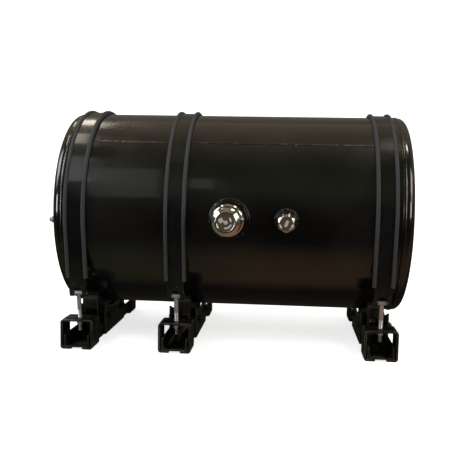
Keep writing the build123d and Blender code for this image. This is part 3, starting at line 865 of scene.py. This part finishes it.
def weld_round(origin, way, radius, size, pitch, on_surface):
    """A fillet weld round a port: quarter circles from the port to the surface it stands on.

    Each section is size (1 - cos b) out and size (1 - sin b) up, swollen by ripples.
    on_surface gives how far the surface lies below the port's foot, at a place round it.
    """
    angle = np.linspace(0, 2 * pi, 361)[:, None]
    bulge = np.linspace(0, pi / 2, 9)[None]
    wave = ripples(angle * radius, pitch)
    lumps = np.sin(5 * angle + 1) + np.sin(11 * angle) + np.sin(17 * angle + 2)
    size = size * (1 + 0.035 * wave + 0.06 * lumps)
    out = radius - HIDDEN + size * (np.sin(bulge) + 0.25 * np.sin(2 * bulge)) * 0.9
    rise = size * (np.cos(bulge) + 0.25 * np.sin(2 * bulge)) - 0.4 * MM * np.sin(bulge)
    foot = on_surface(out, spokes(way, angle))
    top = about(origin, way, rise + foot, out, angle)
    low_ring = about(origin, way, foot[:, :1] - 0.4 * MM, radius - HIDDEN, angle)
    return [top, np.concatenate([top[:, -1:], low_ring], 1),
            np.concatenate([low_ring, top[:, :1]], 1)]


def below_tank(out, ring):
    """How far the tank's surface lies behind a port's foot, out from the port's axis."""
    rise = out * np.linalg.norm(ring[..., 1:], axis=-1)
    return np.sqrt(TANK_R ** 2 - rise ** 2) - TANK_R


class RECEIVER_OT_ports(bpy.types.Operator):
    """Build the welded ports, with rounded rims and fillet welds."""
    bl_idname = "receiver.ports"
    bl_label = "Ports"

    def execute(self, context):
        enamel = material_of(weld_enamel)
        for name, node in PORTS.items():
            foot, way = joint_line(f"{name}_plug_turn")
            _, _, outer = port_circle(name)
            gasket_middle = sum(span(f"{name}_gasket")) / 2
            face = abs(gasket_middle[1] - foot[1]) / abs(way[1]) - GASKET / 2
            bore = THREADS[name] + HIDDEN
            outline = rounded([(-INSET, bore), (-INSET, outer), (face, outer), (face, bore)],
                              (0, 0.6 * MM, 2.2 * MM, 0.8 * MM), closed=True)
            patches = [turned(outline, foot, way, 180)]
            patches += weld_round(foot, way, outer, 6 * MM, sizes().weld_ripple, below_tank)
            finished(node, patches, enamel)
        low, high = span("valve_port")
        middle = (low + high) / 2
        outer = (high[2] - low[2]) / 2
        length = high[0] - low[0]
        bore = VALVE_BORE + HIDDEN
        outline = rounded([(0, bore), (0, outer), (length, outer), (length, bore)],
                          (0, 0.5 * MM, 2 * MM, 0.6 * MM), closed=True)
        foot = np.array((high[0], middle[1], middle[2]))
        patches = [turned(outline, foot, -ALONG_X, 120)]
        patches += weld_round(foot - INSET * ALONG_X, -ALONG_X, outer, 5 * MM,
                              sizes().weld_ripple, lambda out, ring: -0.03 * (out - outer))
        finished("valve_port", patches, enamel)
        return {"FINISHED"}


# ---------------------------------------------------------------- plugs and gaskets

THREADS = {"main": 38 * MM, "small": 16.6 * MM}
GASKET = 3 * MM             # thickness of a gasket
DISC_DEPTH = 3 * MM         # how deep a plug's disc is sunk in its face
PLUG_SIZES = {
    "main": {"flats": 76 * MM, "sides": 12, "collar": 45 * MM, "collar_height": 38 * MM,
             "face": 28.5 * MM, "disc": 23.5 * MM, "slope": 11 * MM},
    "small": {"flats": 45 * MM, "sides": 6, "collar": 23 * MM, "collar_height": 30 * MM,
              "face": 19.5 * MM, "disc": 16.5 * MM, "slope": 5 * MM},
}


def step(value, low, high, soft):
    """1 where a value is between two limits, falling smoothly to 0 outside them."""
    return 1 / (1 + np.exp(-(value - low) / soft)) / (1 + np.exp((value - high) / soft))


def bar(x, y, turn, long, wide):
    """Height from 0 to 1 of a raised bar at the middle, turned by an angle."""
    along, across = x * cos(turn) + y * sin(turn), y * cos(turn) - x * sin(turn)
    return step(along, -long, long, 0.012) * step(across, -wide, wide, 0.012)


def main_marks(out, angle):
    """Generic raised marks, as heights from 0 to 1: four bars, a ringed pip and a ticked arc."""
    x, y = -out * np.sin(angle), out * np.cos(angle)
    bars = sum(bar(x + 0.58 - 0.12 * place, y - 0.24 - 0.07 * place, 2.1, 0.29, 0.042)
               for place in (-1.5, -0.5, 0.5, 1.5))
    pip = step(np.hypot(x, y), -1, 0.08, 0.012) + step(np.hypot(x, y), 0.15, 0.23, 0.012)
    arc = step(out, 0.56, 0.80, 0.012) * step((angle + pi / 2) % (2 * pi), 4.5, 5.95, 0.02)
    ticks = 0.25 + 0.75 * (np.cos(26 * angle) > -0.4)
    return np.clip(bars + pip + arc * ticks + bar(x - 0.56, y - 0.34, 2.0, 0.26, 0.085), 0, 1)


def small_marks(out, angle):
    """Generic raised marks in a slanted row, as heights from 0 to 1: four bars on a base."""
    x, y = -out * np.sin(angle), out * np.cos(angle)
    turn = 1.15
    bars = sum(bar(x - shift * cos(turn), y - shift * sin(turn), turn + pi / 2, 0.26, 0.085)
               for shift in (-0.45, -0.15, 0.15, 0.45))
    return np.clip(bars + 0.8 * bar(x - 0.17, y + 0.08, turn, 0.52, 0.045), 0, 1)


class RECEIVER_OT_plugs(bpy.types.Operator):
    """Build the two chromed plugs, with threads, collars, many-sided heads and marked faces."""
    bl_idname = "receiver.plugs"
    bl_label = "Plugs and gaskets"

    def execute(self, context):
        gasket_rubber = material_of(pad_rubber)
        for name, marks in (("main", main_marks), ("small", small_marks)):
            foot, way = joint_line(f"{name}_plug_turn")
            size = PLUG_SIZES[name]
            low = span(f"{name}_plug")[0]
            gasket_low, gasket_high = span(f"{name}_gasket")
            seat = abs((gasket_low + gasket_high)[1] / 2 - foot[1]) / abs(way[1]) + GASKET / 2
            reach = (foot[1] - low[1] - size["flats"] / 2 * abs(way[2])) / abs(way[1])
            head_low = seat + size["collar_height"]
            thread_r = THREADS[name] - 0.05 * MM
            face_r, sunk_r = size["face"], size["disc"]
            count = 288
            rim = rounded([(reach - DISC_DEPTH, sunk_r - 1 * MM), (reach - DISC_DEPTH, sunk_r),
                           (reach, sunk_r + 0.6 * MM), (reach, face_r),
                           (reach - size["slope"], size["flats"] / 2 + 2.5 * MM),
                           (head_low, size["flats"] / 2 + 2.5 * MM)],
                          (0, 0.8 * MM, 1.9 * MM, 2.2 * MM, 2.5 * MM, 0), steps=7)
            head = turned(self.dense(rim), foot, way, count,
                          flats_limit(size["flats"], size["sides"], start=pi / 2))
            out = np.linspace(0, 1, 64)[:, None]
            angle = np.linspace(0, 2 * pi, count + 1)[None]
            lift = reach - DISC_DEPTH + 0.8 * MM * marks(out, angle) * (out < 0.97)
            face = about(foot, way, lift, out * (sunk_r - 1 * MM), angle)
            collar = rounded([(head_low + 0.5 * MM, size["flats"] / 2 - 6 * MM),
                              (head_low, size["collar"] - 4 * MM),
                              (head_low - 4 * MM, size["collar"]),
                              (seat + 8 * MM, size["collar"]),
                              (seat + 7.2 * MM, size["collar"] - 0.7 * MM),
                              (seat + 6.4 * MM, size["collar"]),
                              (seat, size["collar"]), (seat, thread_r)],
                             (0, 1 * MM, 1 * MM, 0.3 * MM, 0.3 * MM, 0.3 * MM, 0.6 * MM, 0))
            end = seat - 36 * MM
            skirt = rounded([(end, thread_r), (end, thread_r - 8 * MM), (seat, thread_r - 8 * MM),
                             (seat, 0)], (0, 0.6 * MM, 1 * MM, 0))
            patches = [face, head, turned(collar, foot, way, count),
                       thread(foot, way, end, seat, thread_r, sizes().plug_pitch, count, 1.0),
                       turned(skirt, foot, way, count)]
            chrome = material_of(plug_chrome, f"{name}_plug_chrome", f"{name}_plug_turn",
                                 sunk_r - 1 * MM, reach)
            finished(f"{name}_plug", patches, chrome, sharp=50)

            bore = THREADS[name] + 0.4 * MM
            outline = rounded([(seat - GASKET, bore), (seat - GASKET, size["collar"]),
                               (seat, size["collar"]), (seat, bore)], 0.5 * MM, closed=True)
            finished(f"{name}_gasket", [turned(outline, foot, way, 144)], gasket_rubber)
        return {"FINISHED"}

    @staticmethod
    def dense(profile):
        """Add points to a profile, so that the bevelled corners of a head curve smoothly."""
        length = np.concatenate([[0], np.cumsum(np.linalg.norm(np.diff(profile, axis=0), axis=1))])
        more = np.unique(np.concatenate([length, np.linspace(0, length[-1], 56)]))
        return np.stack([np.interp(more, length, profile[:, 0]),
                         np.interp(more, length, profile[:, 1])], -1)


# ---------------------------------------------------------------- straps and liners

LEG_ROWS = 18               # rows of points down each straight leg


def arch(depth, steps=220):
    """The line of a strap in the YZ plane, from its front end to its rear end.

    Returns an outward direction and a shift for each row: a point at a radius is the
    axis + radius x direction + shift. The legs lean in, with a run down their length.
    """
    run = depth * np.linspace(1, 0, LEG_ROWS)[:, None]
    front_out, front_down = np.array((-cos(LEAN), -sin(LEAN))), np.array((sin(LEAN), -cos(LEAN)))
    flip = np.array((-1, 1))
    angle = np.linspace(-LEAN, pi + LEAN, steps)[1:-1]
    over = np.stack([-np.cos(angle), np.sin(angle)], -1)
    leg = np.tile(front_out, (LEG_ROWS, 1))
    out = np.concatenate([leg, over, leg * flip])
    shift = np.concatenate([run * front_down, np.zeros_like(over), run[::-1] * front_down * flip])
    return out, shift


def carried(middle_x, out, shift, across, height):
    """Carry a section along rows: x is middle_x + across, and the radius is height."""
    across, height = np.broadcast_arrays(across, height)
    yz = height[..., None] * out[:, None] + shift[:, None]
    return np.concatenate([(middle_x + across)[..., None], yz + np.array((0, AXIS_Z))], -1)


def strap_levels(place):
    """Half width, the radii of the band's inner face, outer face and eye line, and the run
    down to the eyes."""
    low, high = span(f"strap_{place}")
    outer = high[2] - AXIS_Z
    inner = outer - sizes().strap_thickness
    eye_line = outer - sizes().eye_bore - sizes().strap_thickness
    run = (AXIS_Z - BOLT_POINT[2] - eye_line * sin(LEAN)) / cos(LEAN)
    return (high[0] - low[0]) / 2, inner, outer, eye_line, run


def strap_rows(eye_line, run):
    """Rows of a whole strap: the rolled front eye, the band, and the rolled rear eye.

    In an eye the outward direction turns about the eye's middle, from the band's own
    direction past the bottom and back up inside. Returns the directions, the shifts from
    the eye line, and how far each row is below the window's top (negative above it).
    """
    out, shift = arch(run)
    shift = shift + eye_line * out
    top = sizes().window_top / cos(LEAN)
    tip = run - top + sizes().window_width / 2 * (1 - np.cos(np.linspace(0, pi / 2, 9)))
    curl = np.linspace(radians(318), 0, 40)
    front_out, front_down = out[0], (shift[0] - eye_line * out[0]) / run
    eye_out = np.cos(curl)[:, None] * front_out + np.sin(curl)[:, None] * front_down
    eye_shift = np.tile(shift[0], (len(curl), 1))
    near = np.sort(np.concatenate([tip, np.linspace(tip[-1], run, 5)[1:-1]]))[::-1]
    near_out = np.tile(front_out, (len(near), 1))
    near_shift = eye_line * front_out + near[:, None] * front_down
    leg = np.linspace(run - top, 0, 14)[1:]
    leg_out = np.tile(front_out, (len(leg), 1))
    leg_shift = eye_line * front_out + leg[:, None] * front_down
    front = (np.concatenate([eye_out, near_out, leg_out]),
             np.concatenate([eye_shift, near_shift, leg_shift]))
    depth = np.concatenate([np.full(len(curl), top), near - (run - top), leg - (run - top)])
    flip = np.array((-1, 1))
    over = slice(LEG_ROWS, -LEG_ROWS)
    return (np.concatenate([front[0], out[over], front[0][::-1] * flip]),
            np.concatenate([front[1], shift[over], front[1][::-1] * flip]),
            np.concatenate([depth, np.full(len(out[over]), -1.0), depth[::-1]]))


def strap_patches(place):
    """Both halves of a strap. A half's section goes from the middle line, or the window's
    side, along the band's outer face, round its edge and back along the inner face."""
    half, inner, outer, eye_line, run = strap_levels(place)
    middle_x = (span(f"strap_{place}")[0][0] + span(f"strap_{place}")[1][0]) / 2
    out, shift, depth = strap_rows(eye_line, run)
    radius = sizes().window_width / 2
    gap = np.clip(depth, 0, radius)
    window = np.sqrt(np.clip(radius ** 2 - (radius - gap) ** 2, 0, None))[:, None]
    edge = (outer - inner) / 2
    share = np.linspace(0, 1, 7)[None]
    turn = np.linspace(pi / 2, -pi / 2, 9)[None]
    flat = window + (half - edge - window) * share
    rim = half - edge + edge * np.cos(turn) + 0 * window
    across = np.concatenate([flat, rim[:, 1:-1], flat[:, ::-1]], 1)
    thick = edge * np.sin(turn[:, 1:-1])
    level = np.concatenate([0 * share + edge, thick, 0 * share - edge], 1)
    height = (inner + outer) / 2 - eye_line + level
    open_rows = window[:, 0] > 1e-6
    patches = []
    for side in (-1, 1):
        grid = carried(middle_x, out, shift, side * across, height)
        patches.append(grid)
        ends = np.flatnonzero(np.diff(open_rows.astype(int)))
        for first, last in ((0, ends[0] + 2), (ends[1], len(out))):
            wall = np.stack([grid[first:last, 0], grid[first:last, -1]], 1)
            patches.append(wall)
        columns = (grid.shape[1] + 1) // 2
        for row in (0, -1):
            patches.append(np.stack([grid[row, :columns], grid[row, ::-1][:columns]]))
    return patches


def liner_section(half):
    """Half of a liner's section, as (across, height above the tank): the web's underside, the
    bead's round outside and top, its lip over the strap, the groove and the web's top."""
    bead = sizes().bead
    thick = sizes().strap_thickness
    strap_half = half - 6.3 * MM
    top = thick * 2 + 6 * MM
    return rounded([(0, HIDDEN), (half, HIDDEN), (half, top - 4.5 * MM), (half - 2 * MM, top),
                    (half - bead + 2 * MM, top), (half - bead, top - 4.5 * MM),
                    (half - bead, 2 * thick + HIDDEN), (strap_half + HIDDEN, 2 * thick + HIDDEN),
                    (strap_half + HIDDEN, thick - HIDDEN), (0, thick - HIDDEN)],
                   (0, 1.5 * MM, 4 * MM, 4 * MM, 4 * MM, 4 * MM, 0.8 * MM, 0, 0, 0), steps=5)


class RECEIVER_OT_straps(bpy.types.Operator):
    """Build the three straps with rolled eyes, and their beaded rubber liners."""
    bl_idname = "receiver.straps"
    bl_label = "Straps and liners"

    def execute(self, context):
        for place in PLACES:
            finished(f"strap_{place}", strap_patches(place), material_of(strap_enamel), sharp=50)
            low, high = span(f"liner_{place}")
            half = (high[0] - low[0]) / 2
            outer = strap_levels(place)[2]
            run = (AXIS_Z - low[2] - outer * sin(LEAN)) / cos(LEAN)
            out, shift = arch(run)
            section = liner_section(half)
            across = np.concatenate([section[:, 0], -section[::-1, 0]])[None]
            height = TANK_R + np.concatenate([section[:, 1], section[::-1, 1]])[None]
            wave = np.sin(np.arange(len(out)) * 0.21 + low[0] * 40)[:, None]
            sunk = 0.25 * MM * (1 + wave)
            grid = carried((low[0] + high[0]) / 2, out, shift, across + 0 * sunk,
                           height - sunk * (height > outer))
            finished(f"liner_{place}", [grid], material_of(liner_rubber), sharp=60, fill=True)
        return {"FINISHED"}


# ---------------------------------------------------------------- fasteners

NUT_HEIGHT, NUT_FLATS = 11 * MM, 19 * MM


def hex_patches(origin, way, height, flats, bore, count=96):
    """A hexagon nut: its flats meet a 30 degree cone at both faces."""
    corner = flats / 2 / cos(radians(30))
    cone = 0.16 * flats
    bevel = (corner - 0.47 * flats) * tan(radians(30))
    outline = rounded([(0, bore + 0.6 * MM), (0, 0.47 * flats), (bevel, corner),
                       (height - bevel, corner), (height, 0.47 * flats), (height, bore + 0.6 * MM),
                       (height - 0.6 * MM, bore), (0.6 * MM, bore)],
                      (0.1 * MM, 0.3 * MM, 0, 0, 0.3 * MM, 0.1 * MM, 0.1 * MM, 0.1 * MM),
                      closed=True)
    dense = RECEIVER_OT_plugs.dense(outline)
    limit = flats_limit(flats, 6, softness=0.12 * MM)

    def outside(radius, angle):
        return np.where(radius > flats / 2 - cone, limit(radius, angle), radius)

    return [turned(dense, origin, way, count, outside)]


class RECEIVER_OT_fasteners(bpy.types.Operator):
    """Build the T-bolts and their nuts, and finish the washers and cross bolts."""
    bl_idname = "receiver.fasteners"
    bl_label = "T-bolts, nuts and washers"

    def execute(self, context):
        zinc = material_of(bolt_zinc)
        radius = sizes().bolt / 2
        for place in PLACES:
            for end in ENDS:
                here = f"{end}_{place}"
                middle, way = joint_line(f"nut_turn_{here}")
                low, high = span(f"t_bolt_{here}")
                reach = (middle[2] - low[2] - radius * sin(LEAN)) / cos(LEAN)
                pin_r = high[2] - middle[2]
                pin = (high[0] - low[0]) / 2
                shank = 0.42 * reach
                tip = [(reach - 1.2 * MM, radius), (reach, radius - 1.2 * MM), (reach, 0)]
                pin_outline = rounded([(-pin, 0), (-pin, pin_r), (pin, pin_r), (pin, 0)],
                                      (0, 1.8 * MM, 1.8 * MM, 0))
                patches = [turned([(0, 0), (0, radius), (shank, radius)], middle, way, 48),
                           thread(middle, way, shank, reach - 1.2 * MM, radius,
                                  sizes().thread_pitch, 48),
                           turned(tip, middle, way, 48),
                           turned(pin_outline, middle, ALONG_X, 64)]
                finished(f"t_bolt_{here}", patches, zinc, sharp=60)

                nut_middle = sum(span(f"nut_{here}")) / 2
                along = (nut_middle - middle) @ way - NUT_HEIGHT / 2
                patches = hex_patches(middle + along * way, way, NUT_HEIGHT, NUT_FLATS,
                                      radius + HIDDEN)
                finished(f"nut_{here}", patches, zinc)
                dress(f"washer_{here}", zinc, 0.25 * MM)
        dress("cross_bolts", material_of(black_oxide), 0.5 * MM)
        dress("cross_nuts", material_of(black_oxide), 0.4 * MM)
        return {"FINISHED"}


class RECEIVER_OT_valve(bpy.types.Operator):
    """Finish the relief valve's body, cap, stem and spring."""
    bl_idname = "receiver.valve"
    bl_label = "Relief valve"

    def execute(self, context):
        for node in ("valve_body", "valve_cap", "valve_stem"):
            dress(node, material_of(valve_steel), 0.4 * MM)
        dress("valve_spring", material_of(spring_steel))
        return {"FINISHED"}


class RECEIVER_OT_supports(bpy.types.Operator):
    """Finish the beams, brackets, cradles, pads and side plates."""
    bl_idname = "receiver.supports"
    bl_label = "Beams, brackets and cradles"

    def execute(self, context):
        # The edge material paints pale highlights along the bevels, as well as thinned coat.
        coat, wear_and_edge_highlight = material_of(frame_coat), material_of(highlit_coat_edge)
        edge = sizes().edge
        for place in PLACES:
            dress(f"beam_{place}", coat, edge, wear_and_edge_highlight)
            dress(f"cradle_{place}", coat, 1.2 * edge, wear_and_edge_highlight)
            dress(f"side_plates_{place}", coat, edge, wear_and_edge_highlight)
            dress(f"pad_{place}", material_of(pad_rubber), edge)
            for end in ENDS:
                dress(f"bracket_{end}_{place}", coat, edge, wear_and_edge_highlight)
        return {"FINISHED"}


# ---------------------------------------------------------------- stage

def sweep_floor(low_z):
    """A floor that curves up into a backdrop: flat, a quarter circle, then upright."""
    bend, far, wide = 1.6, 4.0, 7.0
    turn = np.linspace(0, pi / 2, 25)
    y = np.concatenate([[-9.0], np.linspace(-4, far - bend, 12), far - bend + bend * np.sin(turn[1:]),
                        [far]])
    z = np.concatenate([np.zeros(13), bend * (1 - np.cos(turn[1:])), [5.0]]) + low_z
    x = np.linspace(-wide, wide, 9)[None]
    x, y, z = np.broadcast_arrays(x, y[:, None], z[:, None])
    return np.stack([x, y, z], -1)


def floor_paint():
    """Plain pale paint, with an even glow for the camera. What the object mirrors of it is a painted
    reflection, darker: olive on the left and brown on the right in a band in front of the tank, and
    dark as painted shadow under and behind it.
    """
    paint = Finish("floor_paint")
    paint.shade(Base_Color=opaque(colours().floor), Roughness=0.9, Specular_IOR_Level=0.1)
    glow = paint.add("ShaderNodeEmission", {"Color": (1, 1, 1, 1), "Strength": 0.72})
    seen = paint.add("ShaderNodeAddShader", {0: paint.shader.outputs[0], 1: glow.outputs[0]})
    forward = paint.part(paint.place, "Y")
    # Painted shadow: outside a band in front of the tank, the mirrored floor is dark, standing for
    # the tank's shadow under and behind it.
    near = paint.times(paint.ramp(forward, -0.85, -0.40), paint.ramp(forward, -0.16, -0.28))
    painted_reflection_tone = paint.blend(paint.ramp(paint.part(paint.place, "X"), -0.35, 0.15),
                         (0.115, 0.115, 0.068, 1), (0.22, 0.135, 0.082, 1))
    dark = paint.blend(near, (0.022, 0.020, 0.017, 1), painted_reflection_tone)
    tone = paint.blend(paint.ramp(forward, 1.4, 3.2), dark, (0.17, 0.15, 0.12, 1))
    # Painted light: this glow is seen only in reflections and paints what the tank mirrors; it is no
    # lamp.
    warm = paint.add("ShaderNodeEmission", {"Color": tone, "Strength": 1.0})
    ray = paint.add("ShaderNodeLightPath").outputs["Is Camera Ray"]
    mix = paint.add("ShaderNodeMixShader", {0: ray, 1: warm.outputs[0], 2: seen.outputs[0]})
    paint.put(mix.outputs[0], paint.tree.nodes["Material Output"].inputs["Surface"])
    return paint.material


def room():
    """A white surround for the camera; for reflections a dim room: a warm ceiling, a dark
    brown front and a paler upper front."""
    world = bpy.data.worlds.new("room")
    bpy.context.scene.world = world
    world.use_nodes = True
    wiring = Wiring(world.node_tree)
    world.node_tree.nodes.remove(world.node_tree.nodes["Background"])
    way = wiring.add("ShaderNodeTexCoord").outputs["Generated"]
    ramp = wiring.add("ShaderNodeValToRGB", {"Fac": wiring.part(way, "Z")})
    stops = ((0.0, (0.022, 0.020, 0.018)), (0.26, (0.045, 0.045, 0.038)),
             (0.50, (0.11, 0.115, 0.075)), (0.62, (0.10, 0.105, 0.06)),
             (0.85, (0.10, 0.105, 0.06)), (0.96, (0.16, 0.15, 0.09)), (1.0, (0.30, 0.25, 0.17)))
    for place, (at, colour) in enumerate(stops):
        stop = ramp.color_ramp.elements[place] if place < 2 else ramp.color_ramp.elements.new(at)
        stop.position = at
        stop.color = opaque(colour)
    back = wiring.ramp(wiring.part(way, "Y"), -0.08, 0.35)
    warm = wiring.blend(back, ramp.outputs["Color"], (0.34, 0.265, 0.20, 1))
    dim, soft, white = (wiring.add("ShaderNodeBackground", {"Color": tone}).outputs[0]
                        for tone in (warm, (0.75, 0.73, 0.70, 1), (1, 1, 1, 1)))
    paths = wiring.add("ShaderNodeLightPath").outputs
    lit = wiring.add("ShaderNodeMixShader", {0: paths["Is Diffuse Ray"], 1: dim, 2: soft})
    mix = wiring.add("ShaderNodeMixShader", {0: paths["Is Camera Ray"], 1: lit.outputs[0],
                                             2: white})
    wiring.put(mix.outputs[0], world.node_tree.nodes["World Output"].inputs["Surface"])


# Name, place, width, height, power and colour of each lamp. The weak patches are what the
# curved enamel mirrors; the strong lamps at the sides light the rest.
LAMPS = (
    ("window_patch", (-1.02, -2.7, 2.1), 0.50, 1.9, 0.95, (0.97, 0.98, 1.0)),
    ("strap_patch", (-1.43, -2.2, 2.75), 0.24, 1.7, 2.0, (0.94, 0.97, 1.0)),
    ("sky_patch", (-0.43, -2.6, 2.05), 0.16, 0.60, 0.12, (0.80, 0.90, 1.0)),
    ("left_window", (-2.8, -0.9, 2.2), 1.6, 1.6, 42, (0.92, 0.96, 1.0)),
    ("left_fill", (-2.6, -2.3, 0.7), 0.9, 0.9, 26, (0.96, 0.98, 1.0)),
    ("right_fill", (2.7, -2.2, 0.8), 0.8, 0.8, 18, (1.0, 0.96, 0.9)),
    ("right_window", (3.2, -1.5, 2.1), 1.4, 1.6, 34, (1.0, 0.93, 0.84)),
    ("rear_lamp", (-1.46, 1.64, 3.36), 0.26, 0.7, 5.5, (1.0, 0.94, 0.80)),
    ("ceiling_lamp", (-1.25, -0.15, 2.9), 0.24, 0.7, 2.8, (1.0, 0.90, 0.74)),
    ("plug_lamp", (1.25, -0.3, 3.0), 0.5, 0.4, 9, (1.0, 0.93, 0.82)),
)


def softbox(name, place, width, height, power, colour):
    """A soft rectangular lamp at a place, turned towards the tank's middle."""
    lamp = bpy.data.lights.new(name, "AREA")
    lamp.shape = "RECTANGLE"
    lamp.size, lamp.size_y = width, height
    lamp.energy = power
    lamp.color = colour
    piece = bpy.data.objects.new(name, lamp)
    away = np.array(place) - (0, 0, AXIS_Z)
    away /= np.linalg.norm(away)
    down, side = cross_axes(away)
    piece.matrix_world = Matrix.LocRotScale(place, None, None) @ Matrix(
        np.stack([side, -down, away], 1).tolist()).to_4x4()
    bpy.context.scene.collection.objects.link(piece)


def set_camera(place, yaw, pitch, roll, lens):
    """A camera that looks along +Y, turned by a yaw to its left, down by a pitch, and rolled."""
    camera = bpy.data.cameras.new("camera")
    camera.lens = lens
    ahead = np.array((sin(yaw) * cos(pitch), cos(yaw) * cos(pitch), -sin(pitch)))
    level = np.array((cos(yaw), -sin(yaw), 0))
    top = np.cross(level, ahead)
    side = cos(roll) * level + sin(roll) * top
    up = cos(roll) * top - sin(roll) * level
    piece = bpy.data.objects.new("camera", camera)
    turn = Matrix(np.stack([side, up, -ahead], 1).tolist()).to_4x4()
    piece.matrix_world = Matrix.LocRotScale(place, None, None) @ turn
    bpy.context.scene.collection.objects.link(piece)
    bpy.context.scene.camera = piece


class RECEIVER_OT_stage(bpy.types.Operator):
    """Set up the pale floor, the soft lights, the room and the camera."""
    bl_idname = "receiver.stage"
    bl_label = "Stage"

    def execute(self, context):
        floor = surface("floor", [sweep_floor(CAD_BOX[0][2])], floor_paint())
        room()
        for lamp in LAMPS:
            softbox(*lamp)
        set_camera((0.1651, -2.2088, 0.5433), -0.080, 0.097, 0.019, 52.46)
        context.scene.view_settings.view_transform = "Standard"
        return {"FINISHED"}


class RECEIVER_PT_panel(bpy.types.Panel):
    """Lists the steps, the sizes and the colours of the air receiver."""
    bl_label = "Air Receiver Tank"
    bl_idname = "RECEIVER_PT_panel"
    bl_space_type = "VIEW_3D"
    bl_region_type = "UI"
    bl_category = "Receiver"

    def draw(self, context):
        layout = self.layout
        for operator in OPERATORS:
            layout.operator(operator.bl_idname)
        for group in (context.scene.receiver_sizes, context.scene.receiver_colours):
            box = layout.box()
            for key in group.bl_rna.properties.keys():
                if key not in ("rna_type", "name"):
                    box.prop(group, key)


OPERATORS = (RECEIVER_OT_tank, RECEIVER_OT_welds, RECEIVER_OT_ports, RECEIVER_OT_plugs,
             RECEIVER_OT_straps, RECEIVER_OT_fasteners, RECEIVER_OT_valve,
             RECEIVER_OT_supports, RECEIVER_OT_stage)
CLASSES = (ReceiverSizes, ReceiverColours, *OPERATORS, RECEIVER_PT_panel)


def register():
    """Register the classes and attach the sizes and colours to the scene."""
    for made in CLASSES:
        bpy.utils.register_class(made)
    bpy.types.Scene.receiver_sizes = bpy.props.PointerProperty(type=ReceiverSizes)
    bpy.types.Scene.receiver_colours = bpy.props.PointerProperty(type=ReceiverColours)


def unregister():
    """Take away what register attached."""
    del bpy.types.Scene.receiver_colours
    del bpy.types.Scene.receiver_sizes
    for made in reversed(CLASSES):
        bpy.utils.unregister_class(made)


def main():
    """Build every piece and the stage."""
    register()
    for operator in OPERATORS:
        group, name = operator.bl_idname.split(".")
        getattr(getattr(bpy.ops, group), name)()


if __name__ == "__main__":
    main()
